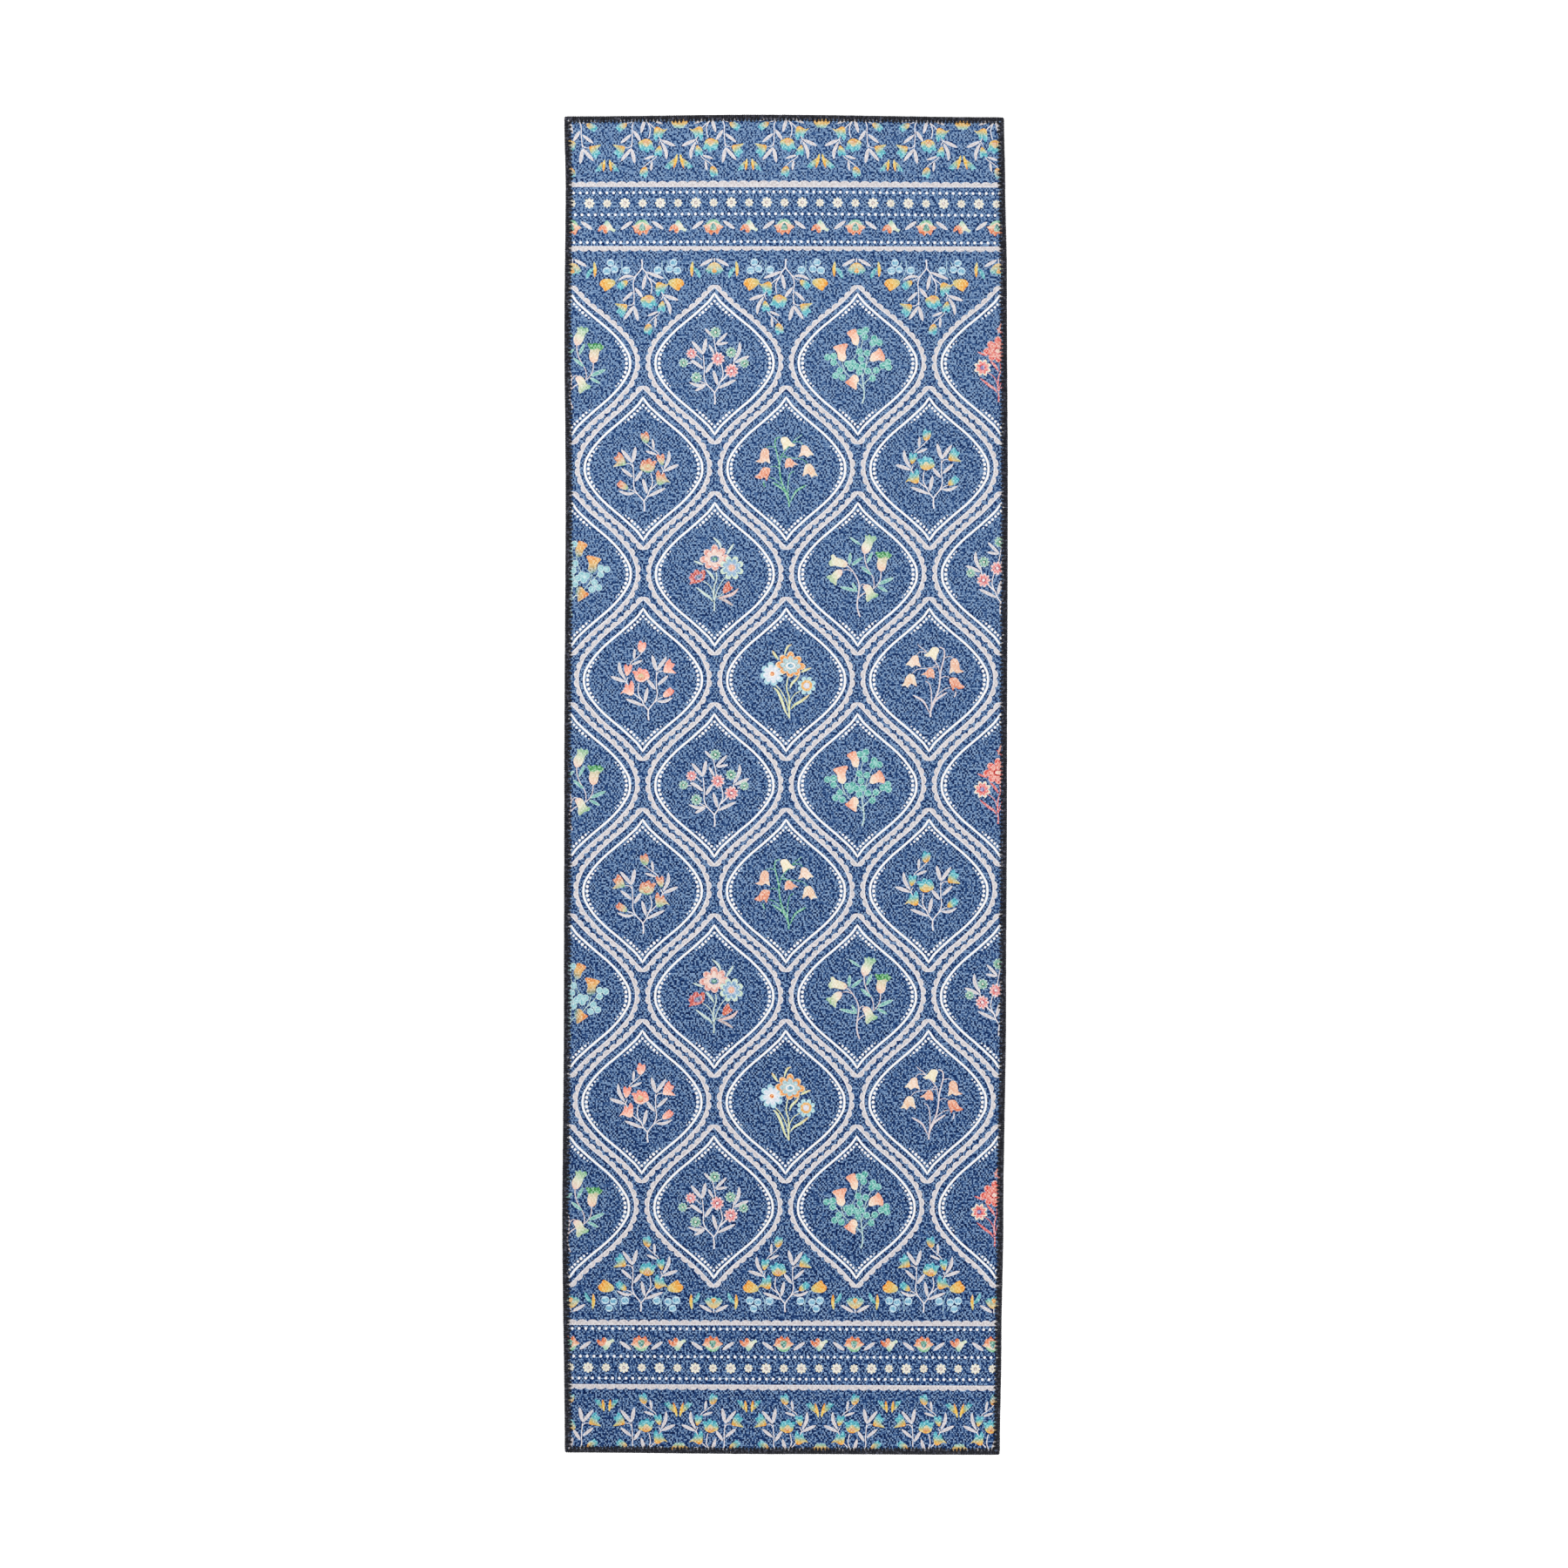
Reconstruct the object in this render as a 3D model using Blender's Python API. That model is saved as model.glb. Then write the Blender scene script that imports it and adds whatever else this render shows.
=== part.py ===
"""Runner rug, 2 ft by 6 ft: a printed woven face on a felt core and a grip backing, bound by an
overlocked yarn edge.

The rug lies flat on the floor. The origin is on the floor under the middle of the rug, +Z is up,
+Y runs along the length and +X across the width. All sizes are in metres.

The three layers are full size and are bonded together. Along the rim the binding pinches them, so
each layer steps from its full thickness to a thinner rim. On each of the four edges the binding is
three yarns: an upper looper over the face, a lower looper under the backing, and the needle thread
that holds both along the inner line. The loopers lock together halfway up the edge.
"""

import math

import bmesh
import bpy
from mathutils import Matrix

# Overall size, over the binding.
RUG_WIDTH = 0.605
RUG_LENGTH = 1.829

# Full thickness of each layer, bottom to top.
GRIP_THICKNESS = 0.0010
CORE_THICKNESS = 0.0012
FACE_THICKNESS = 0.0024

# Thickness of each layer where the binding pinches it.
GRIP_RIM_THICKNESS = 0.0005
CORE_RIM_THICKNESS = 0.0005
FACE_RIM_THICKNESS = 0.0010
PINCH_RAMP = 0.0040  # from the pinched rim to the full thickness

# Binding.
YARN_THICKNESS = 0.0011
BINDING_WIDTH = 0.0085
NEEDLE_THREAD_RADIUS = 0.0004
EDGE_ARC_STEPS = 4

CLEARANCE = 0.0003  # between pieces that are bonded or that rest on each other

RIM_INSET = YARN_THICKNESS + CLEARANCE  # from the rug's edge to the layers' edge
RIM_LIFT = YARN_THICKNESS + CLEARANCE  # from the floor to the lowest rim
QUARTER_TURN = math.pi / 2

# Name, distance from the rug's middle to the edge, length of the edge, turn about +Z.
EDGES = (
    ("near_end", RUG_LENGTH / 2, RUG_WIDTH, 0 * QUARTER_TURN),
    ("right_side", RUG_WIDTH / 2, RUG_LENGTH, 1 * QUARTER_TURN),
    ("far_end", RUG_LENGTH / 2, RUG_WIDTH, 2 * QUARTER_TURN),
    ("left_side", RUG_WIDTH / 2, RUG_LENGTH, 3 * QUARTER_TURN),
)


def clear_scene():
    """Removes every object of the startup scene."""
    for obj in list(bpy.data.objects):
        bpy.data.objects.remove(obj)


def make_material(name, colour, roughness, metallic=0.0):
    """A Principled material of one colour."""
    material = bpy.data.materials.new(name)
    material.use_nodes = True
    shader = material.node_tree.nodes["Principled BSDF"]
    shader.inputs["Base Color"].default_value = (*colour, 1.0)
    shader.inputs["Roughness"].default_value = roughness
    shader.inputs["Metallic"].default_value = metallic
    return material


def add_object(name, mesh, material, collection):
    """An object for a finished mesh, in the rug's collection."""
    obj = bpy.data.objects.new(name, mesh)
    obj.data.materials.append(material)
    collection.objects.link(obj)
    return obj


def stack(thicknesses, start):
    """(bottom, top) of each layer, from start upwards, with the clearance between them."""
    levels = []
    bottom = start
    for thickness in thicknesses:
        levels.append((bottom, bottom + thickness))
        bottom += thickness + CLEARANCE
    return levels


def layer(name, rim, body, material, collection):
    """One full-size layer: a slab at the rim's levels whose two faces step to the body's levels."""
    bm = bmesh.new()
    bmesh.ops.create_cube(bm, size=1.0)
    size = (RUG_WIDTH - 2 * RIM_INSET, RUG_LENGTH - 2 * RIM_INSET, rim[1] - rim[0])
    bmesh.ops.scale(bm, vec=size, verts=bm.verts)
    bmesh.ops.translate(bm, vec=(0, 0, (rim[0] + rim[1]) / 2), verts=bm.verts)
    bm.normal_update()
    by_height = sorted(bm.faces, key=lambda face: face.calc_center_median().z)
    for face, level in ((by_height[0], body[0]), (by_height[-1], body[1])):
        for width in (BINDING_WIDTH - RIM_INSET, PINCH_RAMP):
            bmesh.ops.inset_region(bm, faces=[face], thickness=width, use_even_offset=True)
        for vert in face.verts:
            vert.co.z = level
    mesh = bpy.data.meshes.new(name)
    bm.to_mesh(mesh)
    bm.free()
    return add_object(name, mesh, material, collection)


def looper_outline(meeting, outer):
    """Section of one looper as (inset, height) points, from where the two loopers meet round the
    edge to the needle line and back. Outer is the height of its outer face, above or below."""
    up = 1 if outer > meeting else -1
    rounding = YARN_THICKNESS
    points = [(0, meeting)]
    for step in range(EDGE_ARC_STEPS + 1):
        angle = QUARTER_TURN * step / EDGE_ARC_STEPS
        inset = rounding * (1 - math.cos(angle))
        height = outer - up * rounding * (1 - math.sin(angle))
        points.append((inset, height))
    inner = outer - up * YARN_THICKNESS
    points += [(BINDING_WIDTH, outer), (BINDING_WIDTH, inner)]
    points += [(YARN_THICKNESS, inner), (YARN_THICKNESS, meeting)]
    return points


def looper(name, outline, edge_distance, edge_length, turn, material, collection):
    """One looper along one edge: its section drawn out along the edge, mitred at both corners."""
    curve = bpy.data.curves.new(name, "CURVE")
    curve.dimensions = "2D"
    curve.fill_mode = "BOTH"
    curve.extrude = edge_length / 2
    spline = curve.splines.new("POLY")
    spline.points.add(len(outline) - 1)
    for point, (inset, height) in zip(spline.points, outline):
        point.co = (inset, height, 0, 1)
    spline.use_cyclic_u = True
    drawn = bpy.data.objects.new(name + "_outline", curve)
    collection.objects.link(drawn)
    bpy.context.view_layer.update()
    graph = bpy.context.evaluated_depsgraph_get()
    mesh = bpy.data.meshes.new_from_object(drawn.evaluated_get(graph))
    bpy.data.objects.remove(drawn)

    bm = bmesh.new()
    bm.from_mesh(mesh)
    bmesh.ops.remove_doubles(bm, verts=bm.verts, dist=1e-6)
    mitre_gap = CLEARANCE / 2 * math.sqrt(2)
    for vert in bm.verts:
        inset, height, along = vert.co
        along -= math.copysign(inset + mitre_gap, along)
        vert.co = (along, inset - edge_distance, height)
    bmesh.ops.recalc_face_normals(bm, faces=bm.faces)
    bmesh.ops.rotate(bm, matrix=Matrix.Rotation(turn, 3, "Z"), verts=bm.verts)
    bm.to_mesh(mesh)
    bm.free()
    mesh.name = name
    mesh.materials.clear()
    return add_object(name, mesh, material, collection)


def needle_thread(name, rim_top, body_top, edge_distance, edge_length, turn, material, collection):
    """The needle thread along one edge, in the crease between the upper looper and the face."""
    radius = NEEDLE_THREAD_RADIUS
    inset = BINDING_WIDTH + CLEARANCE + radius
    share = (inset + radius - BINDING_WIDTH) / PINCH_RAMP
    ramp_height = rim_top + (body_top - rim_top) * share
    half_run = edge_length / 2 - inset - radius - CLEARANCE
    curve = bpy.data.curves.new(name, "CURVE")
    curve.dimensions = "3D"
    curve.bevel_depth = radius
    curve.bevel_resolution = 2
    curve.use_fill_caps = True
    spline = curve.splines.new("POLY")
    spline.points.add(1)
    for point, along in zip(spline.points, (-half_run, half_run)):
        point.co = (along, 0, 0, 1)
    obj = bpy.data.objects.new(name, curve)
    curve.materials.append(material)
    collection.objects.link(obj)
    place = Matrix.Translation((0, inset - edge_distance, ramp_height + CLEARANCE + radius))
    obj.matrix_world = Matrix.Rotation(turn, 4, "Z") @ place
    return obj


def build():
    """The whole rug."""
    clear_scene()
    collection = bpy.data.collections.new("runner_rug")
    bpy.context.scene.collection.children.link(collection)
    printed_blue = make_material("printed_face", (0.060, 0.115, 0.270), 0.92)
    grey_felt = make_material("grey_felt", (0.42, 0.42, 0.43), 0.95)
    grip_rubber = make_material("grip_rubber", (0.55, 0.54, 0.52), 0.70)
    navy_yarn = make_material("navy_yarn", (0.010, 0.012, 0.034), 0.85)

    bodies = stack((GRIP_THICKNESS, CORE_THICKNESS, FACE_THICKNESS), 0)
    rims = stack((GRIP_RIM_THICKNESS, CORE_RIM_THICKNESS, FACE_RIM_THICKNESS), RIM_LIFT)
    names = ("grip_backing", "felt_core", "face_cloth")
    materials = (grip_rubber, grey_felt, printed_blue)
    for name, rim, body, material in zip(names, rims, bodies, materials):
        layer(name, rim, body, material, collection)

    face_rim_top = rims[-1][1]
    binding_top = face_rim_top + CLEARANCE + YARN_THICKNESS
    middle = binding_top / 2
    upper = looper_outline(middle + CLEARANCE / 2, binding_top)
    lower = looper_outline(middle - CLEARANCE / 2, 0)
    for edge, distance, length, turn in EDGES:
        place = (distance, length, turn, navy_yarn, collection)
        looper(f"{edge}_upper_looper", upper, *place)
        looper(f"{edge}_lower_looper", lower, *place)
        needle_thread(f"{edge}_needle_thread", face_rim_top, bodies[-1][1], *place)


build()
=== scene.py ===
"""Looks of the runner rug: the printed face with its woven grain, the overlocked yarn edge, the felt
core, and the grip backing with its raised dots, on a pale studio floor.

The printed pattern is drawn in millimetres in the rug's own frame, x to the right and y up, the
origin in the middle of the rug. Shapes are kept in paint order, cut into one flat mesh of triangles
with the rug's outline, and each triangle takes the colour of the topmost shape over it.
"""

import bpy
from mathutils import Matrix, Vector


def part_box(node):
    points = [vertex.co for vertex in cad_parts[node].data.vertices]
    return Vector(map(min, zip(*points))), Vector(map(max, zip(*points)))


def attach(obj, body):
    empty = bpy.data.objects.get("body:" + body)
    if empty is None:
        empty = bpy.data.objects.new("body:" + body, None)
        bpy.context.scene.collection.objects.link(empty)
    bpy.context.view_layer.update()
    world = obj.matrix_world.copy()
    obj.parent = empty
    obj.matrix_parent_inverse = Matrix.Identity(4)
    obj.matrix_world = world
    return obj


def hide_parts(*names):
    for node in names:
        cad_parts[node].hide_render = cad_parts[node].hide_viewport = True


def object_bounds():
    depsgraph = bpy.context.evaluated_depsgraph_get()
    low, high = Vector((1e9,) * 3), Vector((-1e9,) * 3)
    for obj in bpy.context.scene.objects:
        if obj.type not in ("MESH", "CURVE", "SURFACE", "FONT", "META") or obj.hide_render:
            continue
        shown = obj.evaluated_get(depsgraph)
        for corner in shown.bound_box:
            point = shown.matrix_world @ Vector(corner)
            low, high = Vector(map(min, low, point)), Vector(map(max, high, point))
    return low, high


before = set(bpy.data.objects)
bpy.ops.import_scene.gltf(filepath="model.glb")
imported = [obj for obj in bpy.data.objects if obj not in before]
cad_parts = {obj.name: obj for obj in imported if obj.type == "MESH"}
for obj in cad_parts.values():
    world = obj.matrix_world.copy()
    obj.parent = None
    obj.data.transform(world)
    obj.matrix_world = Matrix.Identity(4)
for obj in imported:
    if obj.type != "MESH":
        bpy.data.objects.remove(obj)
CAD_BOX = [list(corner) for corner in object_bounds()]

import math
import random

import bpy
from mathutils import Vector, geometry

MM = 0.001
HALF_WIDTH = CAD_BOX[1][0] / MM
HALF_LENGTH = CAD_BOX[1][1] / MM
TOP = CAD_BOX[1][2] / MM


def span(node):
    """Lowest and highest level of a CAD node, in millimetres."""
    low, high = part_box(node)
    return low[2] / MM, high[2] / MM


# ---------------------------------------------------------------- how the cloth really lies

# How far each edge strays from a straight line, as (place along the edge, outward shift). The cloth
# is drawn in a little on its right side towards both ends.
RIGHT_STRAY = ((-914, -10.4), (-760, -8.2), (-600, -5.6), (-300, -1.8), (0, -0.6), (400, 0.5),
               (700, -0.8), (820, -3.0), (914, -4.6))
LEFT_STRAY = ((-914, 0.2), (-600, 3.6), (-300, 1.5), (0, 1.0), (400, -0.9), (620, 0.8), (820, -0.9),
              (914, 1.0))
FAR_STRAY = ((-303, -1.2), (-30, 1.1), (303, -2.4))
NEAR_STRAY = ((-303, -1.2), (0, 1.0), (303, 2.0))


def between(knots, place):
    """The value at a place, eased from knot to knot."""
    if place <= knots[0][0]:
        return knots[0][1]
    for (left, start), (right, end) in zip(knots, knots[1:]):
        if place <= right:
            share = (place - left) / (right - left)
            share = share * share * (3 - 2 * share)
            return start + (end - start) * share
    return knots[-1][1]


def lie(x, y):
    """Where a point of the straight rug lies on the floor: the edges stray, and the stray fades
    away from each edge."""
    right = ((x + HALF_WIDTH) / (2 * HALF_WIDTH)) ** 3 * between(RIGHT_STRAY, y)
    left = ((HALF_WIDTH - x) / (2 * HALF_WIDTH)) ** 3 * between(LEFT_STRAY, y)
    far = max(0.0, y / HALF_LENGTH) ** 3 * between(FAR_STRAY, x)
    near = max(0.0, -y / HALF_LENGTH) ** 3 * between(NEAR_STRAY, x)
    return x + right - left, y + far - near


# ---------------------------------------------------------------- drawing

class Place:
    """Puts a drawing on the rug: turned, then mirrored left to right, flipped top to bottom, scaled
    and moved."""

    def __init__(self, x=0.0, y=0.0, mirror=False, flip=False, turn=0.0, scale=1.0):
        self.origin = (x, y)
        self.across = -scale if mirror else scale
        self.along = -scale if flip else scale
        self.cos = math.cos(math.radians(turn))
        self.sin = math.sin(math.radians(turn))

    def __call__(self, point):
        x, y = point
        turned_x = x * self.cos - y * self.sin
        turned_y = x * self.sin + y * self.cos
        return self.origin[0] + self.across * turned_x, self.origin[1] + self.along * turned_y


class Inside:
    """A place inside another place."""

    def __init__(self, outer, inner):
        self.outer = outer
        self.inner = inner

    def __call__(self, point):
        return self.outer(self.inner(point))


STRAIGHT = Place()
SHAPES = []  # (outline, colours, gradient start, gradient end) in paint order


def fill(place, outline, colours, start=(0, 0), end=(0, 0)):
    """Paints a closed outline: one colour, or a list of colours from start to end."""
    points = [place(point) for point in outline]
    area = sum(a[0] * b[1] - b[0] * a[1] for a, b in zip(points, points[1:] + points[:1]))
    if area < 0:
        points.reverse()
    if isinstance(colours[0], (int, float)):
        colours = [colours]
    SHAPES.append((points, [linear(inked(colour)) for colour in colours], place(start), place(end)))


def linear(colour):
    """Linear light of a display colour given as 0 to 255."""
    return tuple(((value / 255 + 0.055) / 1.055) ** 2.4 if value > 10 else value / 3295
                 for value in colour)


def inked(colour):
    """A print colour as the cloth shows it, a little greyer than the ink."""
    grey = sum(colour) / 3
    return tuple(grey + (value - grey) * 0.85 for value in colour)


def smooth(points, steps=3, closed=False):
    """A smooth line through the points."""
    count = len(points)
    line = []
    for index in range(count if closed else count - 1):
        if closed:
            before, here, after, beyond = (points[(index + k) % count] for k in (-1, 0, 1, 2))
        else:
            before, here, after = points[max(index - 1, 0)], points[index], points[index + 1]
            beyond = points[min(index + 2, count - 1)]
        for step in range(steps):
            t = step / steps
            line.append(tuple(
                0.5 * (2 * b + (c - a) * t + (2 * a - 5 * b + 4 * c - d) * t * t
                       + (3 * b - a - 3 * c + d) * t ** 3)
                for a, b, c, d in zip(before, here, after, beyond)))
    if not closed:
        line.append(tuple(points[-1]))
    return line


def widened(line, half_width):
    """The outline of a line with a width: half_width gives half of it at a share of the length."""
    last = len(line) - 1
    left, right = [], []
    for index, (x, y) in enumerate(line):
        ax, ay = line[max(index - 1, 0)]
        bx, by = line[min(index + 1, last)]
        length = math.hypot(bx - ax, by - ay) or 1.0
        half = half_width(index / last)
        across = ((ay - by) / length * half, (bx - ax) / length * half)
        left.append((x + across[0], y + across[1]))
        right.append((x - across[0], y - across[1]))
    return left + right[::-1]


def stem(place, points, colour, start=1.6, end=1.2, steps=2):
    """A stalk along the points."""
    line = smooth(points, steps)
    outline = widened(line, lambda t: (start + (end - start) * t) * 0.44)
    fill(place, outline, colour, points[0], points[-1])


def lens(points, width, shrink=0.0):
    """The outline of a leaf from its base to its tip, optionally shrunk all round."""
    line = smooth(points, 6 if len(points) == 2 else 3)
    if shrink:
        (x, y), (u, v) = line[0], line[-1]
        length = math.hypot(u - x, v - y)
        cut = 1.6 * shrink / length
        line = [(a + ((x + u) / 2 - a) * cut * 2, b + ((y + v) / 2 - b) * cut * 2) for a, b in line]
    half = max(width * 0.45 - shrink, 0.3)
    outline = widened(line, lambda t: half * max(math.sin(math.pi * t), 0.0) ** 0.75)
    del outline[len(line)]
    del outline[-1]
    return outline


def leaf(place, points, width, rim, inside=None):
    """A leaf with a pale rim and a darker inside."""
    fill(place, lens(points, width), rim, points[0], points[-1])
    if inside:
        fill(place, lens(points, width, 0.7), inside, points[0], points[-1])


def disc(place, centre, radius, colour, sides=8, across=1.0):
    """A dot, or an oval when across is less than 1."""
    outline = [(centre[0] + radius * math.cos(math.tau * (k + 0.5) / sides),
                centre[1] + radius * across * math.sin(math.tau * (k + 0.5) / sides))
               for k in range(sides)]
    fill(place, outline, colour)


def rosette(centre, radius, petals, waist=0.62, turn=0.0, shrink=1.0, point=False):
    """The outline of a flower seen from the front."""
    outline = []
    profile = ((0.0, waist), (0.18, 0.82), (0.5, 1.0), (0.82, 0.82)) if point else (
        (0.0, waist), (0.16, 0.88), (0.36, 1.0), (0.64, 1.0), (0.84, 0.88))
    for petal in range(petals):
        for share, reach in profile:
            angle = math.radians(turn) + math.tau * (petal + share) / petals
            reach = reach * shrink * radius
            outline.append((centre[0] + reach * math.cos(angle), centre[1] + reach * math.sin(angle)))
    return outline


def flower(place, centre, radius, petals, tip, inside, ring, ring_size, middle, middle_size,
           turn=0.0, point=False):
    """A flower seen from the front: petals with a paler inside, a ring and a middle."""
    fill(place, rosette(centre, radius, petals, turn=turn, point=point), tip)
    fill(place, rosette(centre, radius, petals, turn=turn, shrink=0.76, point=point), inside)
    disc(place, centre, ring_size, ring)
    disc(place, centre, middle_size, middle)


def bell(place, outline, colours, mouth=None, base=None):
    """A flower or bud from the side, its colours running from the stalk end to the far end."""
    base = base or outline[0]
    far = mouth or max(outline, key=lambda p: math.dist(p, base))
    fill(place, smooth(outline, 2, closed=True), colours, base, far)


# ---------------------------------------------------------------- colours, 0 to 255 as displayed

FIELD = (61, 100, 155)
LINE = (243, 242, 242)
LACE = (210, 204, 206)
RIM = (230, 225, 227)
LEAF = (214, 207, 209)
STALK = (235, 229, 231)
CREAM = (238, 228, 206)
WHITE = (238, 234, 230)
PEACH = (238, 206, 184)
CORAL = (230, 148, 120)
ORANGE = (230, 152, 108)
YELLOW = (236, 190, 118)
PALE_TEAL = (184, 214, 212)
TEAL = (130, 190, 194)
DEEP_TEAL = (96, 158, 168)
GREEN = (128, 190, 148)
LEAF_GREEN = (122, 192, 156)
PINK = (236, 200, 190)
GREY_BLUE = (134, 154, 186)
SKY = (160, 198, 216)
BACK = (176, 182, 196)
SUNNY = ((243, 168, 72), (226, 204, 118), (118, 194, 196), (92, 190, 208), (100, 186, 206))  # stalk to tip

# ---------------------------------------------------------------- the ogee lattice

COLUMN = 97.75
ROW = 144.2
OUTER_ROWS = 4  # rows of the lattice above and below the middle one

# A quarter of the lace band's ridge and of the plain line inside it, from the side to the tip.
LACE_RIDGE = ((89.5, 0), (88.9, 7.8), (86.7, 15.3), (80.6, 29.3), (70.8, 41.5), (57.1, 56.4),
              (41.1, 70.6), (28.6, 81), (16.5, 93), (8.4, 102.2), (0, 110.5))
PLAIN_LINE = ((80.6, 0), (79.9, 7), (77.8, 13.7), (70.7, 25.7), (62.1, 36.6), (49.4, 49.4),
              (30.4, 65.4), (14.1, 80.2), (7, 87.4), (0, 97.5))
LINE_DROP = 1.4  # the plain line and the dots sit a little below the lace's centre
LINE_WIDTH = 3.0
LOBES = 12  # in a quarter
LACE_INNER = -1.9
LOBE_VALLEY = 1.6
LOBE_TOP = 4.9

SIDE_DOTS = ((75.5, 0), (75.2, 6.2), (73.6, 12.2), (71.2, 18), (68, 23.2), (64.3, 27.6), (60.9, 31))
SIDE_DOT_SIZES = (4.5, 4.4, 4.2, 3.9, 3.5, 2.8, 2.2)
TIP_DOTS = ((0, 86.9), (4, 83), (7.6, 79.2), (11.8, 75.1), (15.9, 71.2), (20.1, 67.4), (24.3, 63.7))
TIP_DOT_SIZES = (3.9, 3.6, 3.7, 3.8, 4.4, 3.4, 2.2)


def ogee(quarter):
    """The whole closed line of a lattice cell from its quarter, anticlockwise from the right."""
    right_up = smooth(quarter, 3)
    left_up = [(-x, y) for x, y in right_up[-2::-1]]
    upper = right_up + left_up
    return upper + [(-x, -y) for x, y in upper[1:-1]]


def along_line(line):
    """Distance run at each point of a closed line, ending with its whole length."""
    run = [0.0]
    for a, b in zip(line, line[1:] + line[:1]):
        run.append(run[-1] + math.dist(a, b))
    return run


def offset(line, reach):
    """A closed line moved outwards: reach gives the distance at a share of the length."""
    run = along_line(line)
    moved = []
    for index, (x, y) in enumerate(line):
        ax, ay = line[index - 1]
        bx, by = line[(index + 1) % len(line)]
        length = math.hypot(bx - ax, by - ay)
        distance = reach(run[index] / run[-1])
        moved.append((x + (by - ay) / length * distance, y - (bx - ax) / length * distance))
    return moved


def resampled(line, count):
    """A closed line with evenly spaced points."""
    run = along_line(line)
    points = []
    index = 0
    for k in range(count):
        target = run[-1] * k / count
        while run[index + 1] < target:
            index += 1
        share = (target - run[index]) / (run[index + 1] - run[index])
        a, b = line[index], line[(index + 1) % len(line)]
        points.append((a[0] + (b[0] - a[0]) * share, a[1] + (b[1] - a[1]) * share))
    return points


LOBE_POINTS = 6
LACE_LINE = resampled(ogee(LACE_RIDGE), 4 * LOBES * LOBE_POINTS)
INNER_LACE = ogee(LACE_RIDGE)
INNER_LINE = ogee(PLAIN_LINE)


def lobed(extra):
    """The scalloped outside of the lace band, moved by extra."""
    def reach(share):
        phase = share * 4 * LOBES % 1.0
        return LOBE_VALLEY + (LOBE_TOP - LOBE_VALLEY) * abs(math.sin(math.pi * phase)) ** 0.6 + extra
    return offset(LACE_LINE, reach)


CELL_LAYERS = (
    (lobed(0), RIM, 0), (lobed(-1.0), LACE, 0),
    (offset(INNER_LACE, lambda t: LACE_INNER + 1.4), RIM, 0),
    (offset(INNER_LACE, lambda t: LACE_INNER), FIELD, 0),
    (offset(INNER_LINE, lambda t: LINE_WIDTH / 2), LINE, -LINE_DROP),
    (offset(INNER_LINE, lambda t: -LINE_WIDTH / 2), FIELD, -LINE_DROP),
)


class Squashed:
    """A cell's place whose upper and lower halves are squashed towards its middle."""

    def __init__(self, x, y, upper, lower):
        self.x, self.y, self.upper, self.lower = x, y, upper, lower

    def __call__(self, point):
        return self.x + point[0], self.y + point[1] * (self.upper if point[1] > 0 else self.lower)


def cell(x, y, upper=1.0, lower=1.0, line_upper=1.0):
    """One cell of the lattice: the lace band, the plain line and the four chains of dots."""
    for outline, colour, drop in CELL_LAYERS:
        fill(Squashed(x, y + drop, line_upper if drop else upper, lower), outline, colour)
    dots = [(side * u, updown * v, size) for (u, v), size in zip(SIDE_DOTS, SIDE_DOT_SIZES)
            for side in (-1, 1) for updown in ((-1, 1) if v else (1,))]
    dots += [(side * u, updown * v, size) for (u, v), size in zip(TIP_DOTS, TIP_DOT_SIZES)
             for side in ((-1, 1) if u else (1,)) for updown in (-1, 1)]
    for u, v, size in dots:
        disc(Squashed(x, y - LINE_DROP, line_upper, lower), (u, v), size / 2, LINE)


def lattice():
    """All cells: odd columns on even rows and even columns on odd rows."""
    for row in range(-OUTER_ROWS, OUTER_ROWS + 1):
        columns = (-3, -1, 1, 3) if row % 2 == 0 else (-2, 0, 2)
        for column in columns:
            cell(column * COLUMN, row * ROW, 0.94 if row == OUTER_ROWS else 1.0,
                 0.985 if row == -OUTER_ROWS else 1.0, 0.975 if row == OUTER_ROWS else 1.0)


# ---------------------------------------------------------------- sprigs

SPRIG_LEAVES = (
    (((-15, 52), (-31, 71)), 5.5), (((-15, 53), (-11, 74.5)), 6), (((-15, 32.5), (-31, 45)), 5),
    (((-12, 27), (-2, 42)), 5.5), (((-12, 11.5), (-23, 10), (-35, 14.5)), 4.5),
    (((4.5, 10), (-1.5, 31)), 5.5), (((5, 6), (30, 18)), 5),
    (((27, 43), (34, 57), (34.5, 69.5)), 5.5), (((27.5, 41), (48, 50)), 5.5),
)
SPRIG_STEMS = (
    ((0, 0), (-3, 4), (-8, 9), (-12, 15), (-14, 22), (-13.6, 30), (-14, 38), (-15, 51)),
    ((0, 0), (5, 7), (7, 13), (10, 19), (12, 25), (11, 33), (9.5, 38)),
    ((7, 14), (13, 19), (18, 24)), ((18, 24), (23, 32), (27, 42)),
)
TULIP_STEMS = (
    ((-15, 47), (-18, 51), (-24, 51.5)), ((-21, 16), (-15, 14.5), (-10, 10)),
    ((28, 40), (26, 43), (24, 47)), ((19, 55), (20, 65), (14, 70), (7, 75), (0.5, 81)),
)
TULIP_LEAVES = ((((14, 71), (12, 85.5)), 4), (((18, 63.5), (2.5, 68.5)), 4))
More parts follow.
